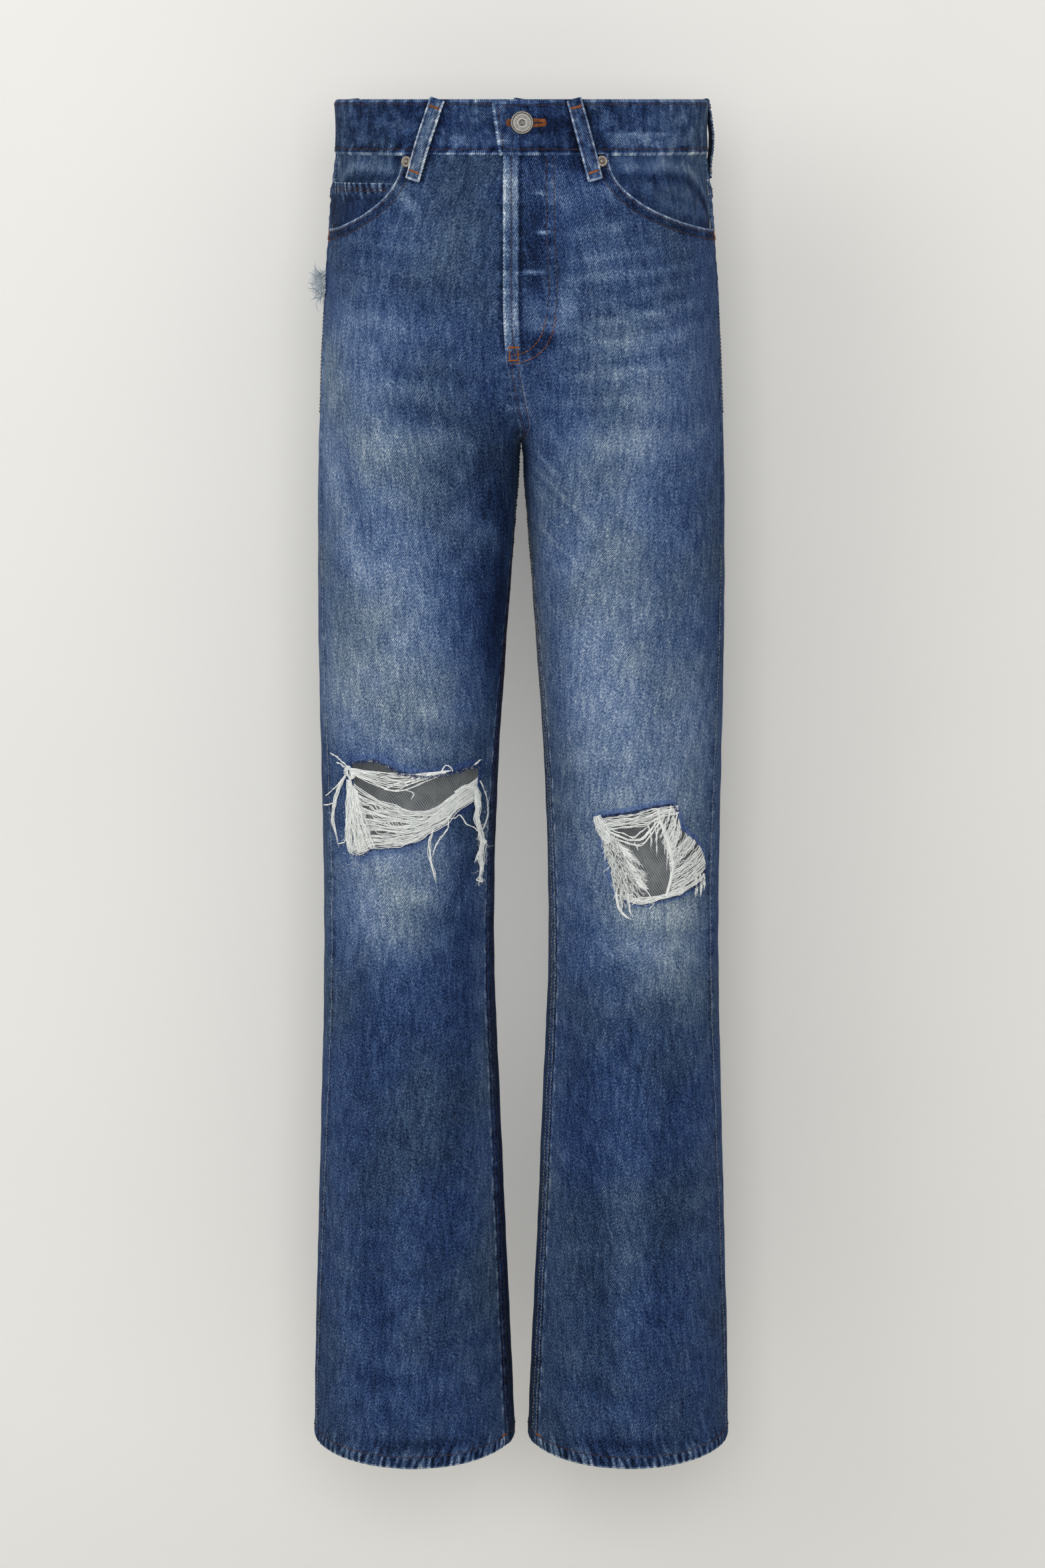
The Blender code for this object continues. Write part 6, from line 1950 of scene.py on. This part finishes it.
def right_tear_threads():
    """The wearer's right knee: a slack swag of white threads with a hanging skein."""
    name = "right"
    white, navy = Tubes(), Tubes()
    strand = partial(skein, white, name)
    upper = ((0.1376, -0.5528), (0.1266, -0.5590), (0.1167, -0.5645), (0.1029, -0.5690), (0.0920, -0.5728),
             (0.0822, -0.5735), (0.0723, -0.5711), (0.0625, -0.5650), (0.0484, -0.5563), (0.0362, -0.5496))
    lower = ((0.1392, -0.6110), (0.1320, -0.6130), (0.1226, -0.6066), (0.1131, -0.6048), (0.0971, -0.6028),
             (0.0872, -0.5990), (0.0735, -0.5905), (0.0626, -0.5848), (0.0550, -0.5755), (0.0378, -0.5680))
    gaps = ((0.1190, -0.5712), (0.1230, -0.5790), (0.1025, -0.5838), (0.1169, -0.5915), (0.0789, -0.5782))
    sizes = ((0.0090, 0.0014), (0.0085, 0.0013), (0.0095, 0.0016), (0.0090, 0.0012), (0.0070, 0.0012))
    gaps = [at + size for at, size in zip(gaps, sizes)]
    swag(white, name, upper, lower, 66, clumps=21, gaps=gaps, rough=0.0010, radius=0.00028)
    swag(white, name, upper, lower, 16, clumps=16, out=(0.003, 0.0055), rough=0.0016, gaps=gaps,
         radius=0.00024)

    # the fan above the opening, from the knot at the outer end
    ends = ((0.0585, -0.5405), (0.0640, -0.5420), (0.0700, -0.5435), (0.0780, -0.5440), (0.0860, -0.5430))
    for k in range(10):
        t = k / 9.0
        end = ends[int(rng.integers(0, len(ends)))] if k > 3 else ends[0]
        sag = 0.0015 + 0.0135 * t
        low = (0.0985 - 0.006 * (1 - t), -0.5395 - sag - 0.0015)
        line = ((0.1400, -0.5405 - 0.0030 * t), (0.1235, -0.5398 - 0.75 * sag), low,
                (0.5 * (low[0] + end[0]), -0.5405 - 0.55 * sag), end)
        strand(line, 2 if k % 3 else 3, 0.0003, out=0.0014, rough=0.0003, radius=0.00022)
    strand(((0.0673, -0.5425), (0.0618, -0.5362), (0.0575, -0.5390), (0.0570, -0.5450)), 2, 0.0002)
    strand(((0.1105, -0.5548), (0.1025, -0.5505), (0.0920, -0.5485), (0.0800, -0.5450)), 3, 0.0004)
    strand(((0.1120, -0.5560), (0.1010, -0.5566), (0.0935, -0.5562), (0.0882, -0.5588),
            (0.0905, -0.5636)), 2, 0.0002, radius=0.00024)

    # the knot, its strands and the bundle below it
    knot(white, name, 0.1402, -0.5445, 0.0058, loops=12)
    for line in (((0.1420, -0.5400), (0.1490, -0.5345), (0.1568, -0.5312)),
                 ((0.1430, -0.5410), (0.1475, -0.5385), (0.1515, -0.5377)),
                 ((0.1450, -0.5480), (0.1520, -0.5580), (0.1616, -0.5693)),
                 ((0.1637, -0.5785), (0.1595, -0.5762), (0.1543, -0.5729)),
                 ((0.1510, -0.6070), (0.1464, -0.6045), (0.1420, -0.5990), (0.1389, -0.5991))):
        strand(line, 3, 0.0004, rough=0.0002)
    strand(((0.1440, -0.5470), (0.1490, -0.5570), (0.1543, -0.5741), (0.1557, -0.5887), (0.1523, -0.6019),
            (0.1506, -0.6106)), 9, 0.0012, cut=0.25)
    strand(((0.1400, -0.5500), (0.1388, -0.5650), (0.1400, -0.5850), (0.1392, -0.6060),
            (0.1370, -0.6135)), 26, 0.0030, out=0.0022, rough=0.0006, cut=0.2)
    rungs(white, name, ((0.1400, -0.5520), (0.1372, -0.5560), (0.1335, -0.5600)),
          ((0.1420, -0.6125), (0.1330, -0.6140), (0.1240, -0.6080), (0.1165, -0.6060)), 62, 20,
          rough=0.0011, out=(0.0012, 0.0046), radius=0.00026)
    fuzz(white, name, (0.1370, -0.5950), (0.0040, 0.0130), 150, 0.006, (-0.5, -1.0))

    # the hanging skein at the inner end
    strand(((0.0560, -0.5590), (0.0470, -0.5555), (0.0400, -0.5590), (0.0382, -0.5680),
            (0.0388, -0.5790)), 16, 0.0020, out=0.0030, rough=0.0004)
    hang = ((0.0400, -0.5600), (0.0388, -0.5720), (0.0385, -0.5850), (0.0366, -0.5951), (0.0350, -0.6059),
            (0.0361, -0.6159), (0.0352, -0.6265), (0.0367, -0.6358), (0.0378, -0.6430))
    strand(hang, 26, 0.0023, rings=44, out=0.0030, rough=0.0005, cut=0.14)
    strand(((0.0365, -0.5520), (0.0348, -0.5565), (0.0318, -0.5654), (0.0305, -0.5761), (0.0311, -0.5863),
            (0.0345, -0.5945)), 2, 0.0003, out=0.0030)
    strand(((0.0360, -0.6080), (0.0377, -0.6131), (0.0400, -0.6190), (0.0416, -0.6226)), 6, 0.0006,
           out=0.0032, cut=0.3)
    knot(white, name, 0.0345, -0.6048, 0.0022, loops=6, out=0.0040)
    knot(white, name, 0.0370, -0.6372, 0.0028, loops=3, out=0.0036)
    fuzz(white, name, (0.0362, -0.6100), (0.0018, 0.0180), 90, 0.006, (0.0, -1.0), out=0.004)

    strand(((0.0640, -0.5780), (0.0600, -0.5806), (0.0550, -0.5804), (0.0534, -0.5789), (0.0463, -0.5879),
            (0.0404, -0.5919), (0.0385, -0.5950)), 3, 0.0004, out=0.0026)
    strand(((0.0720, -0.5860), (0.0740, -0.5930), (0.0763, -0.5980), (0.0758, -0.6082), (0.0748, -0.6174),
            (0.0727, -0.6266), (0.0711, -0.6357)), 7, 0.0008, out=0.0026, cut=0.1)
    strand(((0.0610, -0.5820), (0.0616, -0.5888), (0.0649, -0.5937), (0.0698, -0.6007), (0.0725, -0.6067),
            (0.0737, -0.6135)), 3, 0.0004, out=0.0030, cut=0.1)

    fringe(navy, name, 0, 11, -1, 0.0042)
    fringe(navy, name, 0, 11, 1, 0.0030, 0.0008)
    fringe(navy, name, 13, 25, 1, 0.0034)
    fringe(navy, name, 13, 25, -1, 0.0030, 0.0009)
    fringe(white, name, 0, 11, -1, 0.0030, 0.0022, 0.00012)
    strand(((0.0400, -0.5390), (0.0364, -0.5361), (0.0326, -0.5347)), 5, 0.0006, cut=0.5)
    threads = white.make("threads_right_knee", "white")
    place(threads, "white_threads", "rip_threads_right")
    place(navy.make("fringe_right_knee", "navy"), "denim_washed")


def left_tear_threads():
    """The wearer's left knee: a dense fan, a fluffy column and slanting threads."""
    name = "left"
    white, navy = Tubes(), Tubes()
    strand = partial(skein, white, name)
    upper = ((0.0650, -0.5812), (0.0711, -0.5790), (0.0814, -0.5765), (0.0918, -0.5750), (0.1022, -0.5722),
             (0.1126, -0.5703), (0.1285, -0.5700))
    lower = ((0.0690, -0.5915), (0.0760, -0.5898), (0.0850, -0.5880), (0.0930, -0.5866), (0.1045, -0.5848),
             (0.1126, -0.5800), (0.1295, -0.5775))
    swag(white, name, upper, lower, 22, clumps=9, rings=34, radius=0.00027)
    strand(((0.0690, -0.5900), (0.0740, -0.5918), (0.0816, -0.5950), (0.0898, -0.5977), (0.0985, -0.5971),
            (0.1051, -0.5905), (0.1111, -0.5822), (0.1170, -0.5750)), 6, 0.0008)
    strand(((0.0690, -0.5920), (0.0760, -0.5965), (0.0832, -0.5992), (0.0915, -0.6016), (0.0986, -0.6022),
            (0.1024, -0.5988), (0.1068, -0.5933), (0.1130, -0.5830)), 6, 0.0008)
    strand(((0.0700, -0.5880), (0.0772, -0.5905), (0.0860, -0.5930), (0.0914, -0.5958), (0.0985, -0.5905),
            (0.1045, -0.5862)), 3, 0.0004)

    # the bundle at the inner corner and the column below it
    strand(((0.0640, -0.5780), (0.0665, -0.5850), (0.0700, -0.5920), (0.0740, -0.6000)), 26, 0.0042,
           out=0.0026, rough=0.0006)
    knot(white, name, 0.0670, -0.5865, 0.0042, loops=6)
    left_line = ((0.0680, -0.5900), (0.0676, -0.6000), (0.0690, -0.6098), (0.0745, -0.6276),
                 (0.0769, -0.6422), (0.0803, -0.6540))
    right_line = ((0.0800, -0.5980), (0.0860, -0.6040), (0.0921, -0.6106), (0.0998, -0.6197),
                  (0.1022, -0.6311), (0.0995, -0.6460))
    thatch(white, name, left_line, right_line, 330, 0.0125)
    for _ in range(26):
        down = rng.uniform(0.0, 1.0)
        x0, z0 = 0.080 + 0.017 * down, -0.600 - 0.038 * down
        reach = rng.uniform(0.006, 0.012)
        line = ((x0, z0), (x0 + 0.50 * reach, z0 - 0.35 * reach),
                (x0 + reach, z0 - rng.uniform(0.5, 1.2) * reach))
        strand(line, 3, 0.0003, rings=12, out=0.0036, cut=0.2)
    fuzz(white, name, (0.0850, -0.6220), (0.0050, 0.0130), 140, 0.006, (0.3, -1.0), out=0.003)
    strand(((0.0790, -0.6420), (0.0800, -0.6520), (0.0840, -0.6600), (0.0919, -0.6662)), 12, 0.0011,
           out=0.0032, cut=0.3)
    strand(((0.0880, -0.6430), (0.0890, -0.6520), (0.0905, -0.6600), (0.0940, -0.6650)), 7, 0.0008,
           out=0.0030, cut=0.3)
    strand(((0.0890, -0.6440), (0.0925, -0.6442), (0.0943, -0.6480), (0.0918, -0.6524)), 2, 0.0003,
           out=0.0032)

    # threads along the foot of the tear, and the slanting ones to its outer edge
    upper = ((0.0850, -0.6440), (0.0940, -0.6468), (0.1044, -0.6462), (0.1194, -0.6440), (0.1330, -0.6395))
    lower = ((0.0850, -0.6500), (0.0940, -0.6512), (0.1044, -0.6520), (0.1194, -0.6478), (0.1400, -0.6430))
    swag(white, name, upper, lower, 20, clumps=5, rings=30)
    edge = ((0.1250, -0.5790), (0.1290, -0.5895), (0.1400, -0.5985), (0.1495, -0.6120), (0.1525, -0.6290),
            (0.1520, -0.6375))
    bundle = ((0.1185, -0.5960), (0.1205, -0.6080), (0.1225, -0.6230), (0.1238, -0.6340), (0.1230, -0.6430),
              (0.1150, -0.6475))
    rungs(white, name, edge, bundle, 84, 22)
    rungs(white, name, edge, bundle, 16, 16, radius=0.00022, out=(0.0025, 0.0050), rough=0.0016)
    strand(((0.1120, -0.5720), (0.1130, -0.5800), (0.1167, -0.5899), (0.1207, -0.6043), (0.1240, -0.6176),
            (0.1226, -0.6322), (0.1190, -0.6461)), 12, 0.0015, out=0.0024)
    rungs(white, name, ((0.1170, -0.5700), (0.1225, -0.5695), (0.1275, -0.5760), (0.1310, -0.5890)),
          ((0.1110, -0.5900), (0.1150, -0.5990), (0.1190, -0.6080), (0.1225, -0.6200)), 24, 9)

    # threads cut short inside the opening
    for top, foot in (((0.1040, -0.5850), (0.1069, -0.6069)), ((0.1090, -0.5800), (0.1114, -0.6161)),
                      ((0.1150, -0.5800), (0.1178, -0.6171)), ((0.1180, -0.5850), (0.1192, -0.6274)),
                      ((0.0930, -0.6000), (0.0959, -0.6089)), ((0.1120, -0.5820), (0.1090, -0.6010))):
        middle = (0.5 * (top[0] + foot[0]) + 0.0012, 0.5 * (top[1] + foot[1]))
        strand((top, middle, foot), 3, 0.0005, rings=18, cut=0.3)

    # tufts below the outer corner
    for top, foot in (((0.1436, -0.6300), (0.1444, -0.6518)), ((0.1471, -0.6310), (0.1485, -0.6521)),
                      ((0.1505, -0.6320), (0.1508, -0.6482))):
        middle = (0.5 * (top[0] + foot[0]) + 0.0006, 0.5 * (top[1] + foot[1]))
        strand((top, middle, foot), 9, 0.0011, rings=18, cut=0.4)
    strand(((0.1100, -0.6500), (0.1094, -0.6523), (0.1056, -0.6567)), 2, 0.0003, rings=12)

    fringe(navy, name, 0, 7, 1, 0.0026)
    fringe(navy, name, 0, 7, -1, 0.0030)
    fringe(navy, name, 12, 19, -1, 0.0036)
    fringe(navy, name, 12, 19, 1, 0.0028, 0.0009)
    threads = white.make("threads_left_knee", "white")
    place(threads, "white_threads", "rip_threads_left")
    place(navy.make("fringe_left_knee", "navy"), "denim_washed")


def hip_fray():
    """A small burst of loose threads at the wearer's right hip."""
    white = Tubes()
    middle = float(outermost(FRAY_Z)) - FRAY_FROM_EDGE
    count, rings = 170, 12
    t = np.linspace(0.0, 1.0, rings)
    s0 = middle + rng.normal(0.0, 0.0022, (count, 1))
    z0 = FRAY_Z + rng.normal(0.0, 0.0042, (count, 1))
    fan = np.where(rng.random((count, 1)) < 0.1, 0.45, -0.42) + rng.normal(0.0, 0.30, (count, 1))
    lean = rng.normal(0.0, 0.45, (count, 1))
    curl = rng.normal(0.0, 0.7, (count, 1))
    reach = 0.0145 * rng.uniform(0.35, 1.0, (count, 1))
    base = skin(-1, s0, z0) + skin_normals(-1, s0, z0) * 0.0004
    away = np.stack((-reach * t * np.cos(fan + curl * t), -reach * t * np.sin(lean),
                     reach * t * np.sin(fan + curl * t)), axis=-1)
    paths = base + away
    radii = 0.00036 * np.clip(np.linspace(4.0, 0.0, rings), 0.35, 1.0)
    white.add(paths, radii, np.broadcast_to((0.1, -1.0, 0.2), paths.shape), 4)
    place(white.make("threads_hip", "grey_white"), "white_threads", "hip_fray")


# ---- metal ---------------------------------------------------------------------------
def turned(name, profile, radius, segments, look, side, s, z, height):
    """A turned metal piece from (share of radius, height) pairs, set with its axis out of the skin."""
    profile = np.array([(share * radius, rise) for share, rise in profile])
    turn = np.linspace(0.0, 2 * math.pi, segments, endpoint=False)
    rings = [np.stack((r * np.cos(turn), r * np.sin(turn), np.full(segments, h)), axis=1)
             for r, h in profile[:-1]]
    points = np.concatenate(rings + [np.array([[0.0, 0.0, profile[-1][1]]])])
    faces = []
    for ring in range(len(profile) - 2):
        for k in range(segments):
            after = (k + 1) % segments
            low, high = ring * segments, (ring + 1) * segments
            faces.append((low + k, low + after, high + after, high + k))
    top = (len(profile) - 2) * segments
    faces += [(top + k, top + (k + 1) % segments, len(points) - 1) for k in range(segments)]
    faces.append(tuple(range(segments))[::-1])
    piece = make_mesh(name, points, faces, (look,), sharp=34.0)
    normal = Vector(skin_normals(side, np.array(s), np.array(z)))
    at = Vector(skin(side, np.array(s), np.array(z))) + normal * height
    piece.matrix_world = Matrix.Translation(at) @ normal.to_track_quat("Z", "Y").to_matrix().to_4x4()
    return piece


# share of the radius, and height out of the cloth
BUTTON_PROFILE = (
    (0.45, 0.0), (0.45, 0.0013), (0.86, 0.0014), (0.95, 0.0018), (1.00, 0.0025), (0.985, 0.0031),
    (0.94, 0.0035), (0.88, 0.0036), (0.83, 0.0034), (0.79, 0.0030), (0.76, 0.0028), (0.60, 0.0029),
    (0.575, 0.00295), (0.56, 0.0033), (0.52, 0.0034), (0.48, 0.0033), (0.46, 0.0029), (0.40, 0.0028),
    (0.30, 0.0029), (0.28, 0.0032), (0.24, 0.0033), (0.20, 0.0031), (0.16, 0.0029), (0.10, 0.0030),
    (0.07, 0.0034), (0.0, 0.0036),
)
RIVET_PROFILE = (
    (1.00, -0.0004), (1.00, 0.0003), (0.97, 0.0007), (0.90, 0.0010), (0.80, 0.00105), (0.70, 0.0009),
    (0.60, 0.0010), (0.50, 0.0012), (0.44, 0.0011), (0.40, 0.0013), (0.36, 0.0018), (0.26, 0.0021),
    (0.12, 0.0022), (0.0, 0.00225),
)


def button():
    piece = turned("shank_button", BUTTON_PROFILE, BUTTON_RADIUS, 96, "nickel", 1, *BUTTON_AT,
                   BAND_PROUD + BAND_STEP + 0.0003)
    place(piece, "button_metal", "button")


def rivet(name, side, s, z):
    piece = turned("burr_" + name, RIVET_PROFILE, RIVET_RADIUS, 64, "copper", side, s, z, 0.0007)
    place(piece, "rivet_metal", "rivet_" + name)


RIVETS = (
    ("right", -1, 0.0922, -0.0480),
    ("left", 1, 0.0640, -0.0475),
)
# each lamp: name, place, where it points, size across, power
LAMPS = (
    ("key", (-2.5, -2.3, 1.0), (0.0, 0.0, -0.55), 2.4, 26.0),
    ("fill", (0.0, -3.3, 0.30), (0.0, 0.0, -0.6), 1.2, 38.0),
)
SENSOR_WIDTH = 36.0
SKY_COLOUR = (1.0, 0.99, 0.975, 1.0)
SKY_STRENGTH = 0.60
WALL_COLOUR = (240, 239, 235)
FLOOR_COLOUR = (196, 195, 191)
ROOM_X, ROOM_FRONT_Y, ROOM_TOP_Z = 4, -5, 2.6


# ---- the studio --------------------------------------------------------------------
def studio():
    """A pale wall and floor, a big soft lamp from the left and a smaller one by the camera."""
    data = bpy.data.cameras.new("camera")
    data.lens = LENS
    data.sensor_width = SENSOR_WIDTH
    camera = bpy.data.objects.new("camera", data)
    camera.location = CAMERA_AT
    camera.rotation_euler = (math.radians(90.0 - CAMERA_DOWN), 0.0, 0.0)
    bpy.context.collection.objects.link(camera)
    bpy.context.scene.camera = camera

    world = bpy.data.worlds.new("studio")
    world.use_nodes = True
    sky = world.node_tree.nodes["Background"].inputs
    sky["Color"].default_value = SKY_COLOUR
    sky["Strength"].default_value = SKY_STRENGTH
    bpy.context.scene.world = world
    bpy.context.scene.view_settings.view_transform = "Standard"

    for name, at, aim, size, power in LAMPS:
        lamp = bpy.data.lights.new(name, "AREA")
        lamp.shape = "SQUARE"
        lamp.size = size
        lamp.energy = power
        made = bpy.data.objects.new(name, lamp)
        made.location = at
        made.rotation_euler = (Vector(aim) - Vector(at)).to_track_quat("-Z", "Y").to_euler()
        bpy.context.collection.objects.link(made)

    seam = ((-ROOM_X, WALL_Y, FLOOR_Z), (ROOM_X, WALL_Y, FLOOR_Z))
    top = ((ROOM_X, WALL_Y, ROOM_TOP_Z), (-ROOM_X, WALL_Y, ROOM_TOP_Z))
    front = ((-ROOM_X, ROOM_FRONT_Y, FLOOR_Z), (ROOM_X, ROOM_FRONT_Y, FLOOR_Z))
    for name, colour, corners in (("backdrop", WALL_COLOUR, seam + top),
                                  ("floor", FLOOR_COLOUR, front + seam[::-1])):
        mesh = bpy.data.meshes.new(name)
        mesh.from_pydata(corners, [], [(0, 1, 2, 3)])
        mesh.materials.append(backdrop(name + "_paint", colour))
        sheet = bpy.data.objects.new(name, mesh)
        bpy.context.collection.objects.link(sheet)


studio()
waistband()
for panel_name, panel_side in (("left", 1), ("right", -1)):
    front_panel(panel_name, panel_side)
    back_panel(panel_name, panel_side)
    yoke(panel_name, panel_side)
    pocket_facing(panel_name, panel_side)
    back_pocket(panel_name, panel_side)
coin_pocket()
fly_placket()
for belt_loop_row in LOOPS:
    belt_loop(belt_loop_row)
button()
for rivet_row in RIVETS:
    rivet(*rivet_row)
stitches()
right_tear_threads()
left_tear_threads()
hip_fray()
